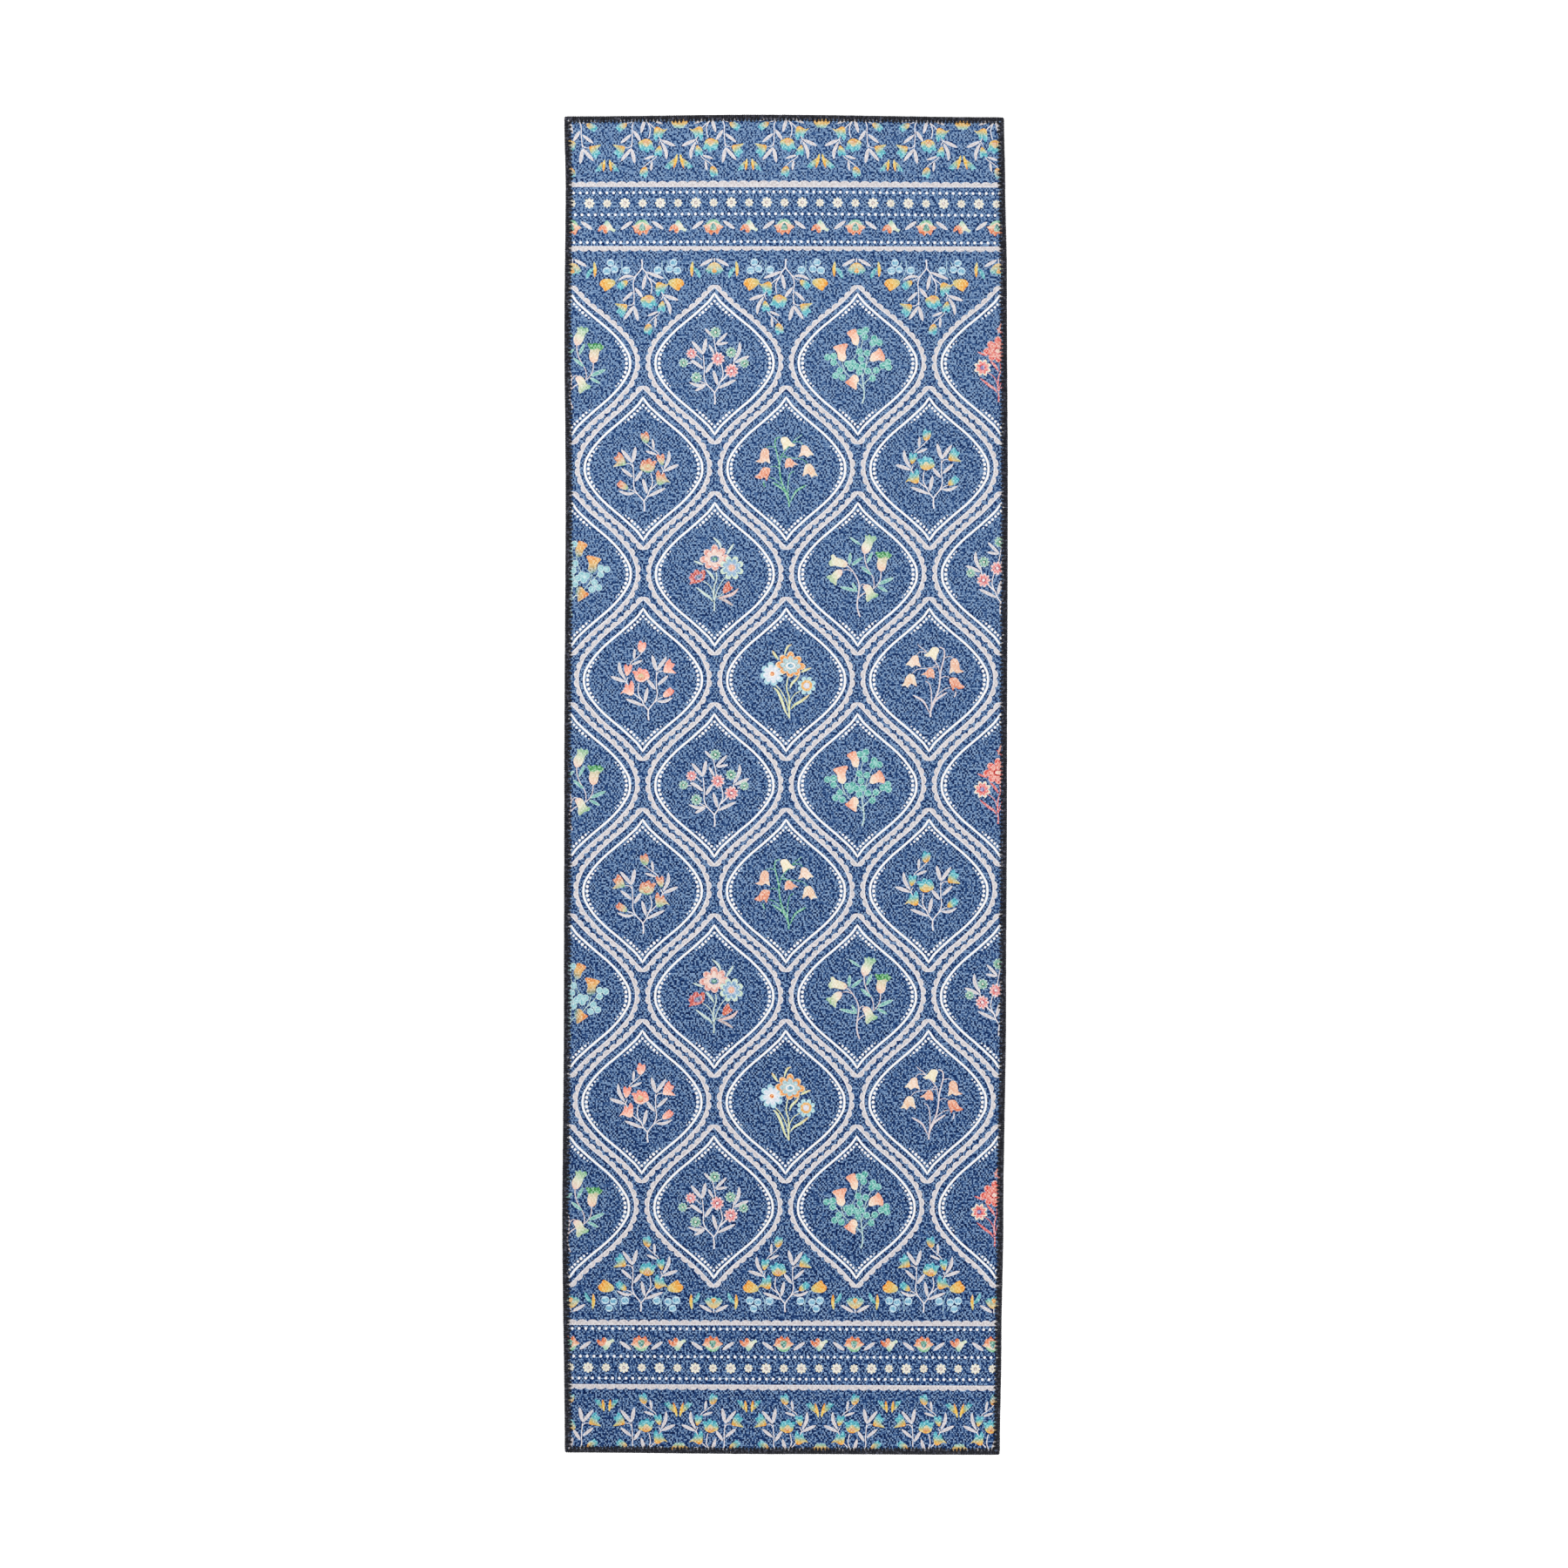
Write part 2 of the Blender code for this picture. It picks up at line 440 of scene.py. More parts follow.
TULIP_BUDS = (
    ((-24.5, 51), (-26.5, 58), (-30, 64), (-35, 67.5), (-36, 63), (-38, 61), (-41, 60), (-39, 56),
     (-36.5, 53.5), (-39, 50.5), (-42, 47), (-37, 47.5), (-31, 48.5), (-27, 49)),
    ((-21.5, 16.5), (-22.5, 21.5), (-27, 25.5), (-31, 28), (-32.5, 29), (-34, 26.5), (-37.5, 23.5),
     (-34.5, 19), (-30, 16.5), (-25, 15.5)),
    ((18.5, 23.5), (17, 31), (17, 38), (20, 42.5), (22.5, 38), (24, 35.5), (28, 39), (29.5, 34),
     (32.5, 29.5), (37, 24.5), (32, 26.5), (27, 24), (23, 22)),
    ((25, 49), (20, 54), (17, 62.5), (20, 64), (22.5, 61.5), (25.5, 65), (28, 63), (28.5, 57),
     (27, 51)),
    ((-0.5, 81), (-4, 87), (-3.5, 93), (0.5, 92), (2.5, 95.5), (5, 94.5), (7.5, 89), (7.5, 84),
     (5, 79.5)),
)
PEONY = ((-3, 42), (-5.5, 45), (-4.5, 50), (-3, 54), (0, 56.5), (3, 55.5), (4.5, 57), (7.5, 59),
         (10, 57), (11, 54), (14.5, 55.5), (18, 54), (15.5, 50.5), (15, 46), (13, 42), (9, 39.5),
         (4, 39), (0, 41))
PEONY_HEART = ((1, 43), (2.5, 48), (6, 51), (9.5, 48.5), (11, 44), (7, 41.5))


def sprig(place, foot):
    """The stalks and leaves that the tulip and the daisy sprigs share; it grows from its fork."""
    stem(place, ((0.5, -foot), (0.8, -foot / 2), (0, 0)), STALK, 2.4, 2.0)
    for points in SPRIG_STEMS:
        stem(place, points, STALK, 1.9, 1.3)
    for points, width in SPRIG_LEAVES:
        leaf(place, points, width, RIM, LEAF)


def tulips(place, petals, heart, foot=14):
    """A sprig of tulip buds round a peony; petals lists a bud's colours from its stalk to its tip."""
    sprig(place, foot)
    for points in TULIP_STEMS:
        stem(place, points, STALK, 1.4, 1.1)
    for points, width in TULIP_LEAVES:
        leaf(place, points, width, RIM, LEAF)
    for outline in TULIP_BUDS:
        bell(place, outline, petals)
    fill(place, smooth(PEONY, 2, closed=True), petals, (6, 39), (6, 58))
    fill(place, smooth(PEONY_HEART, 2, closed=True), (heart, (216, 208, 160)), (6, 41), (6, 49))


DAISY_STEMS = (
    ((-24.5, 52), (-17, 45)), ((-36.5, 40), (-31, 40.3)), ((8, 16), (14, 21), (18, 25)),
    ((3, 55), (1, 65), (-0.5, 73), (-3, 78)), ((26.5, 39), (27, 45), (28, 49)),
    ((35, 38), (32, 36)), ((-20, 16), (-14, 13), (-8, 9)), ((6, 36), (5, 46), (3, 55)),
)
DAISY_LEAVES = (
    (((-3, 77), (-13, 88)), 4), (((2, 66), (18, 82)), 4.5), (((3, 65.5), (19, 68.5)), 4),
    (((0, 53), (-7.5, 66)), 4), (((-12, 10), (-26.5, 2.5)), 4.5), (((-15, 34), (-33, 44)), 4),
)
PINK_DAISIES = ((-31, 53.5, 7.4), (5, 46.5, 9.2), (23.5, 30, 9.4))
GREEN_DAISIES = ((1.5, 82.5, 7.6), (-24.5, 21, 7.5), (23, 55, 7.4), (-42, 41, 6.4), (41, 40, 6.4))
DAISY_GREEN = (134, 190, 166)


def daisies(place, foot=16):
    """A sprig of pink and green daisies."""
    sprig(place, foot)
    for points in DAISY_STEMS:
        stem(place, points, STALK, 1.3, 1.2)
    for points, width in DAISY_LEAVES:
        leaf(place, points, width, RIM, LEAF)
    for x, y, radius in PINK_DAISIES:
        flower(place, (x, y), radius, 9, (242, 204, 200), (240, 152, 150), (196, 116, 138),
               radius * 0.36, WHITE, radius * 0.2)
    for x, y, radius in GREEN_DAISIES:
        flower(place, (x, y), radius, 9, (186, 216, 196), DAISY_GREEN, (94, 150, 138),
               radius * 0.4, (228, 228, 210), radius * 0.22)


# ---------------------------------------------------------------- the three big flowers

TRIO_BLADES = (
    (((-1.5, -5), (-5.5, 1), (-11.5, 5), (-18.5, 10.5), (-25.5, 16)), 4),
    (((0.5, 24), (-2.5, 30), (-7, 35.5), (-11.5, 40)), 4), (((-14.5, 46), (-28.5, 51.5)), 3.2),
    (((9.5, 67), (6.5, 76), (-2.5, 84)), 3.8), (((16.5, 59), (27, 75.5)), 3.8),
    (((5.5, 0), (13.5, -2), (20.5, -6), (26.5, -10)), 4.5),
)
TRIO_STEMS = (
    (((0, -17), (0.5, -10), (0, -4)), 2.5), (((-0.5, -1), (-1.5, 8), (-4.5, 15), (-9.5, 20.5),
     (-15.5, 23.5)), 1.5), (((-0.5, -2), (0, 16), (2.5, 23), (3.5, 30), (2.5, 36)), 2.2),
    (((0.5, -3), (2.5, 6), (6.5, 16), (10.5, 23), (15.5, 29)), 1.6),
    (((2.5, 2), (8.5, 4), (11.5, 7)), 1.4),
)
TRIO_BUD = ((12.5, 7), (20, 9.5), (26, 15), (22.5, 17), (20, 24), (14, 18), (12, 12))
TRIO_SEPAL = ((4.5, 0.5), (18.5, 3.5), (26.5, 7), (33.5, 14.5))
TULIP_HEAD = ((-15, 25), (-12.5, 30), (-12.5, 38), (-16.5, 39), (-19, 35.5), (-22.5, 39.5),
              (-27, 38.5), (-28.5, 34.5), (-33, 34.5), (-32, 31.5), (-35, 28.5), (-32, 24),
              (-34, 19), (-29.5, 20.5), (-21.5, 21.5))
BIG_PETALS = ((0, 20), (-14, 12), (-20.5, -1), (-12, -12), (1, -16), (14, -9), (20.5, 2), (14, 14))


PETAL_SHAPE = ((0.6, -0.95), (0.84, -0.85), (0.97, -0.4), (1.0, 0), (0.97, 0.4), (0.84, 0.85), (0.6, 0.95))


def big_petals(centre, reach, half_width=5.2):
    """The outline of the big flower: eight round petals with a notch between two of them."""
    outline = []
    for (x, y), (u, v) in zip(BIG_PETALS, BIG_PETALS[1:] + BIG_PETALS[:1]):
        length = math.hypot(x, y)
        side = (-y / length * half_width, x / length * half_width)
        for share, spread in PETAL_SHAPE:
            outline.append((centre[0] + (x * share + side[0] * spread) * reach,
                            centre[1] + (y * share + side[1] * spread) * reach))
        notch = 0.27
        outline.append((centre[0] + (x + u) * notch * reach, centre[1] + (y + v) * notch * reach))
    return outline


def big_flower(place, centre, rim, tip, inside, ring, middle):
    """The largest flower of the trio: pale-rimmed petals, coloured at their tips."""
    fill(place, big_petals(centre, 1.0), rim)
    fill(place, big_petals(centre, 0.92), tip)
    fill(place, big_petals(centre, 0.7), inside)
    disc(place, centre, 6.6, ring, 12, 0.74)
    disc(place, centre, 4.0, middle, 10, 0.72)


def trio_stalks(place, stalk, bud):
    """The stalks, blades and bud of the trio."""
    for points, width in TRIO_STEMS:
        stem(place, points, stalk, width, width * 0.8)
    for points, width in TRIO_BLADES:
        leaf(place, points, width, stalk)
    leaf(place, TRIO_SEPAL, 5, (226, 196, 190))
    bell(place, TRIO_BUD, bud)


def pink_trio(place):
    """A big pink flower, a blue one and a coral tulip."""
    trio_stalks(place, (204, 222, 212), (CORAL, (226, 116, 98), CORAL))
    leaf(place, TRIO_BLADES[5][0], 4.5, (200, 184, 182))
    big_flower(place, (0.5, 54), (242, 214, 204), (232, 164, 152), (238, 210, 198), GREY_BLUE,
               (124, 176, 160))
    flower(place, (24, 42), 16.6, 8, (206, 226, 206), (150, 184, 212), (190, 196, 216), 6.6,
           (238, 186, 160), 4.6)
    bell(place, TULIP_HEAD, ((222, 122, 110), (226, 124, 112), (216, 120, 124)))
    fill(place, smooth(((-17, 27), (-16, 34), (-21, 33), (-26, 31), (-27, 26), (-22, 25)), 2, True),
         (168, 150, 184))
    fill(place, smooth(((-20, 28), (-19.5, 31), (-23, 31), (-24.5, 28)), 2, True), (110, 150, 170))


def coral_trio(place):
    """The trio in corals with a small daisy."""
    trio_stalks(place, (236, 142, 140), (CREAM, CORAL, CORAL))
    big_flower(place, (0, 53), (246, 186, 174), (240, 118, 108), (240, 156, 142), (226, 106, 104),
               (240, 206, 190))
    flower(place, (-21.5, 30), 12.5, 8, CREAM, (242, 140, 136), (232, 112, 116), 4.8,
           (156, 148, 194), 3.2, point=True)
    flower(place, (24, 42), 16, 8, CREAM, PEACH, CORAL, 5, CREAM, 3)
    leaf(place, ((0, 76), (2, 84), (5, 92)), 3.5, (228, 164, 152))


YELLOW_GREEN = (224, 228, 178)
SUNNY_BLADES = (
    (((-0.5, -13), (5, -4), (9, 8), (13, 18), (17, 25), (22, 28.5)), 4.0),
    (((-2, -2), (-8, 5), (-16, 9.5), (-24, 15.5), (-28, 19)), 4.0),
    (((-1, 26), (-4, 34), (-10, 40), (-15, 47)), 3.8),
    (((-16, 49), (-22, 52), (-31, 55.5)), 3.6), (((6.5, 72), (4, 80), (1, 85), (-4, 87)), 3.4),
    (((14, 66), (20, 74), (23, 79)), 4.0),
)


def sunny_trio(place):
    """The trio in yellow-orange and light blue."""
    for points, width in TRIO_STEMS[1:4]:
        stem(place, points, YELLOW_GREEN, width, width * 0.8)
    stem(place, ((-0.5, -13.5), (0, -4), (0, 2)), YELLOW_GREEN, 2.4, 2.2)
    stem(place, ((2.5, 34), (2, 40), (0, 45)), YELLOW_GREEN, 1.8, 1.6)
    stem(place, ((15, 28), (17.5, 31), (19, 35)), YELLOW_GREEN, 1.4, 1.2)
    for index, (points, width) in enumerate(SUNNY_BLADES):
        leaf(place, points, width, (YELLOW_GREEN, YELLOW_GREEN, (226, 196, 140)) if index else YELLOW_GREEN)
    flower(place, (23, 47), 16.6, 8, (172, 216, 228), (218, 224, 234), WHITE, 5.0, (240, 150, 84), 3.0,
           turn=12)
    big_flower(place, (-2, 58), (244, 216, 176), (246, 166, 92), (176, 206, 212), WHITE,
               (122, 176, 204))
    flower(place, (-24, 31), 12.8, 8, (184, 222, 226), (166, 212, 222), (240, 184, 112), 8.0,
           (218, 218, 230), 4.4)


# ---------------------------------------------------------------- trumpets and clovers

TRUMPET_STEM = ((103.5, 520.5), (106, 527), (106.5, 536), (105, 548), (103.5, 562))
TRUMPETS = (
    (((98, 600), (100, 610), (97, 616), (95, 622.5), (87, 620), (83, 617), (84.5, 614), (89, 609),
      (91, 602)), (86, 620)),
    (((76, 578), (79, 578), (82.5, 583), (81, 589), (82, 595), (84.5, 600), (82, 602.5), (70, 600),
      (64, 597), (67.5, 593), (70, 589), (71, 581)), (79, 603)),
    (((114.5, 579), (119, 577.5), (127, 580), (134, 578), (135, 585), (133, 589), (131, 593),
      (127, 596.5), (123, 592), (117, 589), (114.5, 582)), (132, 592)),
    (((99.5, 551), (97, 549), (96.5, 543), (95.5, 539), (89, 543), (83, 547), (80.5, 550),
      (86, 553.5), (90, 558.5), (94, 560), (98, 557.5)), (84, 548)),
)
CLOVERS = (
    ((109, 621), (101, 618), (107.5, 611.5)), ((120.5, 609.5), (118.5, 603), (127.5, 604)),
    ((100, 591.5), (110.5, 589.5), (102.5, 581.5)), ((56.5, 583.5), (65, 585), (65, 576.5)),
    ((73.5, 565.5), (67.5, 558.5), (77, 556)), ((84, 574.5), (91, 576), (88, 569)),
    ((96, 571.5), (105, 572), (100, 563.5)), ((112, 565), (123, 566), (118, 555)),
    ((139, 577), (132, 572.5), (140, 570)),
)
TRUMPET_STEMS = (
    ((77, 577), (78, 571), (81, 564), (86, 558), (94, 550), (104, 545)),
    ((113, 579), (109, 572), (107, 563), (104, 556)), ((98, 600), (98, 592), (101, 580), (104, 562)),
    ((92, 581), (95, 586), (97, 592)), ((98.5, 549), (103, 543), (105, 541)),
    ((107, 612), (103, 600), (102, 588)), ((121, 604), (116, 595), (111, 584), (107, 566)),
    ((66, 580), (74, 570), (82, 562)), ((118, 561), (112, 553), (105, 546)),
    ((136, 573), (128, 566), (118, 558), (106, 548)),
)


def trumpets(place, stalk, flower_colours, leaves, heart):
    """Trumpet flowers among clovers."""
    stem(place, TRUMPET_STEM, stalk, 2.6, 1.8)
    for points in TRUMPET_STEMS:
        stem(place, points, stalk, 1.2, 1.2)
    for lobes in CLOVERS:
        middle = tuple(sum(values) / 3 for values in zip(*lobes))
        for x, y in lobes:
            disc(place, (x, y), 4.8, heart, 9)
            disc(place, (x, y), 3.9, leaves, 9)
            stem(place, (middle, (x + (x - middle[0]) * 0.3, y + (y - middle[1]) * 0.3)), heart, 1.2, 0.5)
    for outline, mouth in TRUMPETS:
        bell(place, outline, flower_colours, mouth)


# ---------------------------------------------------------------- thistles

THISTLE_STEM = ((101, 229), (98, 237), (97, 245), (97.5, 253), (99, 262), (99.5, 272), (97.5, 280),
                (93, 288), (88, 295), (82, 299.5))
THISTLE_STEMS = (
    (((90, 291), (84, 293.5), (78, 293)), 1.4), (((98, 254), (103, 259), (108, 262)), 2),
    (((100, 268), (102, 272), (105, 274), (108, 273)), 1.4),
    (((107, 315), (107.5, 307), (110, 298), (115, 289), (119, 281), (120, 272), (119, 269)), 1.7),
    (((129.5, 291), (129, 282), (126, 275), (121, 269), (110, 262)), 1.6),
)
THISTLE_LEAVES = (
    (((102, 327), (86, 338)), 4), (((110, 302), (118, 318)), 4.8), (((117, 286), (102, 298)), 5.2),
    (((86, 300), (87.5, 317)), 5.2), (((89, 299), (104, 310.5)), 5.2), (((125, 273), (147, 282.5)), 6),
    (((124, 271), (139, 263)), 4.8), (((97, 264), (73, 270)), 5.2), (((97, 263), (90, 276)), 4.4),
)
THISTLES = (
    (((106.1, 315.1), (103.6, 318.9), (102.6, 323.8), (104.2, 328.8), (108, 334), (107.5, 341),
      (111, 339), (113.5, 342), (116.5, 338.5), (121, 340), (123.5, 335), (119, 331), (117, 325),
      (115.4, 321.4), (111.7, 316.4)), (PINK, CREAM, (186, 212, 180), GREEN)),
    (((129.1, 291), (124.7, 295.3), (123.8, 302.7), (125.3, 308.9), (121.6, 316.4), (123.5, 318.3),
      (127.8, 316.9), (132.2, 318.6), (136, 317), (139, 318.9), (140.8, 315.8), (144.6, 313.3),
      (140.2, 308.3), (137.7, 306.5), (136.5, 299), (134.6, 293.4)),
     ((244, 200, 178), (234, 214, 188), (206, 204, 170), (150, 186, 150))),
    (((83.8, 301.5), (81.3, 305.2), (74.5, 308.3), (68.3, 310.2), (64.5, 314.5), (60.8, 312),
      (62, 308.3), (59, 305.2), (58.1, 301.5), (60.8, 297.8), (65.8, 299), (73.2, 297.2),
      (79.4, 296.5), (82.5, 298.4)), (PEACH, (226, 222, 194), CREAM, (186, 212, 172))),
    (((76.3, 292.8), (76.9, 289.1), (74.5, 284.1), (70.1, 280.4), (68.9, 276.7), (68.5, 271.7),
      (65.8, 273), (63.3, 275.4), (60.2, 276.7), (58.3, 280.4), (54.9, 282.3), (56.5, 285.4),
      (61.4, 286), (63.9, 289.1), (68.3, 292.8), (72.6, 293.8)), (PINK, CREAM, (200, 214, 176), GREEN)),
    (((105.5, 271.7), (110.4, 273.6), (115.4, 271.1), (118.5, 265.5), (121, 261.8), (126, 259.9),
      (123.5, 255.6), (117.9, 254.4), (113.5, 250.6), (110.4, 249.4), (108.6, 254.4), (109.2, 259.3),
      (107.3, 264.3), (104.9, 268.6)), (PINK, CREAM, (206, 214, 180), (136, 198, 154))),
)
THISTLE_CROWN = ((125.3, 309.6), (121.6, 316.4), (123.5, 318.3), (127.8, 316.9), (132.2, 318.6),
                 (136, 317), (139, 318.9), (140.8, 315.8), (144.6, 313.3), (140.2, 308.3),
                 (135.3, 311.4), (130.9, 309.2))


def thistles(place):
    """Thistle heads on a pinkish stalk with teal leaves."""
    stem(place, THISTLE_STEM, (222, 208, 210), 2.4, 1.6)
    for points, width in THISTLE_STEMS:
        stem(place, points, (222, 208, 210), width, width * 0.8)
    for points, width in THISTLE_LEAVES:
        leaf(place, points, width, (176, 216, 206), (136, 196, 186))
    for outline, colours in THISTLES:
        bell(place, outline, colours)
    fill(place, THISTLE_CROWN, ((120, 188, 128), (88, 170, 108)), (132, 309), (132, 318))


# ---------------------------------------------------------------- bellflowers

BELL_STEMS = (
    (((3.8, 379), (2.5, 393.1), (-5.5, 410.5), (-8.7, 424.2), (-9.9, 439.1), (-13, 452.7),
      (-15.5, 463.9), (-14.2, 471.9), (-8.7, 474.4)), 2.6),
    (((2.5, 392), (2.3, 410.5), (5, 424.2), (10.6, 427.9)), 1.7),
    (((-9, 437), (-6.2, 450.8), (-2, 449.5), (1, 446)), 1.3),
    (((-6.2, 450), (0, 458), (9.3, 467.6), (12.4, 471.3), (17.4, 474.4), (21, 478)), 1.5),
    (((9.3, 467.6), (18.6, 468.2), (22.4, 463.9)), 1.2),
    (((-8.4, 448), (8.7, 445.9), (22.4, 444), (28.6, 438.4)), 1.2),
    (((-14.5, 460), (-22.3, 462), (-27.9, 459.5)), 1.2),
    (((-9, 431), (-14.9, 434.7), (-22.3, 433.5)), 1.2),
    (((1, 396), (-3.7, 406.8), (-16.1, 417.3), (-23.5, 419.2)), 1.4),
    (((-31, 414), (-30.5, 409), (-28.5, 406.5)), 2.2),
)
BELL_BLADES = ((((4, 384), (-2.4, 400.6), (-13.6, 409.3), (-19.6, 413)), 3.2),
               (((4.4, 383), (12.4, 399.4), (22.4, 406.2), (28, 409)), 3.2))
BELLS = (
    ((-6, 474), (1, 474.5), (5, 469.5), (9, 465.5), (13, 464), (8, 461), (3, 462), (-3.5, 456),
      (-5, 463), (-8, 470)),
    ((-32, 458.5), (-27, 459), (-23.5, 455), (-23.5, 447), (-22, 438), (-28, 441.5), (-32, 439),
      (-36, 439.5), (-42.5, 441.5), (-36.5, 444), (-35.5, 452)),
    ((-31, 433), (-22.5, 432), (-22.5, 426), (-25, 420), (-27, 414.5), (-30, 420), (-35, 417),
      (-43.5, 420), (-38, 424), (-35, 429)),
    ((21, 463), (28, 462.5), (32, 457), (38, 450), (33, 450), (29, 446.5), (24, 450), (16.5, 447),
      (19.5, 454)),
    ((1, 445), (6, 445.5), (10, 441), (17, 436.5), (11, 436.5), (8, 432.5), (4, 434), (-1.5, 432),
      (-1.5, 440)),
    ((27, 437), (33, 438), (38, 432), (40, 426), (43.5, 421), (38, 422), (34.5, 419), (30, 425),
      (22.5, 420.5), (23.5, 427), (25, 434)),
)


BELL_COLOURS = (
    (CREAM, (240, 230, 198), CREAM), ((240, 196, 170), (240, 190, 164), CREAM),
    ((242, 184, 156), (238, 160, 130), (232, 146, 116)), (PEACH, (244, 216, 196), CREAM),
    ((244, 190, 164), (240, 172, 144), PEACH), (CREAM, (240, 200, 170), CREAM),
)


def bellflowers(place, stalk):
    """Six hanging bells in cream, peach and coral, each with a darker fold down its middle."""
    for points, width in BELL_STEMS:
        stem(place, points, stalk, width, width * 0.75)
    for points, width in BELL_BLADES:
        leaf(place, points, width, stalk)
    for outline, colours in zip(BELLS, BELL_COLOURS):
        bell(place, outline, colours)
        top = outline[0]
        low = tuple(sum(point[k] for point in outline) / len(outline) for k in (0, 1))
        fold = ((top[0] * 0.7 + low[0] * 0.3, top[1] * 0.7 + low[1] * 0.3),
                (low[0] * 1.5 - top[0] * 0.5, low[1] * 1.5 - top[1] * 0.5))
        leaf(place, fold, 2.4, colours[1] if colours[1] != colours[0] else (232, 206, 176))


# ---------------------------------------------------------------- sprays in the lattice

SPRAY_REPEAT = 4 * ROW
SPRIG_TURN = -4.7


def sprays():
    """The spray inside each cell of the lattice."""
    for shift in (0, -SPRAY_REPEAT, -2 * SPRAY_REPEAT):
        thistles(Place(-392.5, 285 + shift))
        daisies(Place(-98, 535 + shift))
        trumpets(Place(0, shift), PALE_TEAL,
                 ((240, 228, 206), (246, 212, 188), (248, 190, 162), (242, 158, 128)),
                 (104, 188, 178), (158, 212, 204))
        coral_trio(Place(290, 540 + shift))
    for shift in (0, -SPRAY_REPEAT):
        tulips(Place(-195, 387 + shift), ((140, 196, 160), (222, 200, 160), CORAL, CORAL), CORAL)
        bellflowers(Place(0, shift), LEAF_GREEN)
        tulips(Place(201, 391 + shift, mirror=True, turn=SPRIG_TURN), SUNNY, YELLOW)
        trumpets(Place(-189, -289.5 + shift, mirror=True), PALE_TEAL,
                 (DEEP_TEAL, YELLOW, (238, 150, 90)), (150, 202, 212), (196, 224, 224))
        pink_trio(Place(-98.5, 254 + shift))
        thistles(Place(0, shift))
        daisies(Place(293, 249 + shift, mirror=True))
        tulips(Place(-188, 101.5 + shift, mirror=True, turn=SPRIG_TURN),
               ((252, 214, 196), (250, 170, 150), (246, 150, 134)), (242, 136, 120))
        sunny_trio(Place(4, 104 + shift, mirror=True))
        bellflowers(Place(201, -287 + shift, mirror=True), (224, 210, 212))


# ---------------------------------------------------------------- the two end borders

FLOWER_REPEAT = 97.4
DAISY_REPEAT = 48.65
DOT_PITCH = 9.15
BORDER_LOBE = 13.92
LOTUS = ((0, 772), (5.5, 770.6), (9.6, 764.5), (14, 761.6), (11.6, 759.4), (9.2, 758), (7.6, 754.4),
         (5.4, 751), (2, 754), (-0.5, 753.4), (-2.9, 749.8), (-6.2, 753.6), (-9.6, 753.8),
         (-11.2, 758), (-12.4, 761), (-14.8, 763), (-10.4, 764.6), (-6, 770))
LOTUS_CROWN = ((0, 772), (5.5, 770.6), (9.6, 764.5), (6, 765.4), (0, 769), (-6.5, 765.4),
               (-10.4, 764.6), (-6, 770))
LOTUS_HEART = ((0, 767.4), (4.8, 758.8), (0, 756.4), (-5, 758.8))
SIDE_BELL = ((-1, 771), (2.4, 769.5), (6.3, 764), (8.6, 760), (12.1, 758.6), (9.8, 755),
             (5.5, 757.3), (2.4, 757.5), (0.9, 754.5), (-1.9, 753.1), (-4.6, 754.7), (-5.8, 759),
             (-8.5, 757), (-12.4, 756.2), (-10, 762.5), (-4.6, 765.6))
SIDE_BELL_FRONT = ((-4.6, 765.6), (-10, 762.5), (-12.4, 756.2), (-8.5, 757), (-5.8, 759),
                   (-4.6, 754.7), (-1.9, 753.1), (0.6, 755.4), (0.4, 761))


def lace_row(place, flat, top, first):
    """A straight lace band from side to side: a flat edge and a row of lobes."""
    up = 1 if top > flat else -1
    height = abs(top - flat)

    def band(margin, lift):
        lobes = []
        count = int(2 * (HALF_WIDTH + BORDER_LOBE) / BORDER_LOBE) + 1
        for k in range(count):
            for share in (0.0, 0.12, 0.3, 0.5, 0.7, 0.88):
                rise = 0.6 + 0.4 * math.sin(math.pi * share) ** 0.6
                lobes.append((first + (k + share) * BORDER_LOBE, flat + up * (height * rise - margin)))
        return [(first, flat + up * lift)] + lobes + [(lobes[-1][0], flat + up * lift)]

    fill(place, band(0, 0), (222, 217, 219))
    fill(place, band(0.8, 1.3), LACE)


def dot_row(place, y, first):
    """A row of dots from side to side."""
    x = first
    while x < HALF_WIDTH + DOT_PITCH:
        disc(place, (x, y), 2.0, LINE)
        x += DOT_PITCH


def repeats(first, pitch):
    """Places from side to side at a pitch, through first."""
    start = first - math.ceil((first + HALF_WIDTH + pitch / 2) / pitch) * pitch
    count = int((2 * HALF_WIDTH + 2 * pitch) / pitch) + 1
    return [start + k * pitch for k in range(count)]


def border_flowers(place):
    """The row of lotus flowers, bells and white leaves."""
    for centre in repeats(-2.2, FLOWER_REPEAT):
        here = Inside(place, Place(centre, 0))
        leaf(here, ((13.2, 769.8), (29.4, 758.6)), 5.6, RIM, LEAF)
        leaf(here, ((-13.4, 770), (-29.6, 758.4)), 5.6, RIM, LEAF)
        fill(here, smooth(LOTUS, 2, True), (CREAM, (240, 200, 170), (238, 150, 112), (236, 140, 96)), (0, 770), (0, 751))
        fill(here, smooth(LOTUS_CROWN, 2, True), (LEAF_GREEN, (196, 222, 186)), (0, 772), (0, 764))
        fill(here, smooth(LOTUS_HEART, 2, True), (DEEP_TEAL, (140, 190, 160)), (0, 767), (0, 757))
        side = Inside(place, Place(centre + FLOWER_REPEAT / 2 + 0.3, 0))
        fill(side, smooth(SIDE_BELL, 2, True), ((150, 208, 178), CREAM, (206, 226, 200)), (0, 771),
             (8, 756))
        fill(side, smooth(SIDE_BELL_FRONT, 2, True), (PEACH, (238, 150, 112), (236, 140, 96)), (-1, 767), (-8, 755))


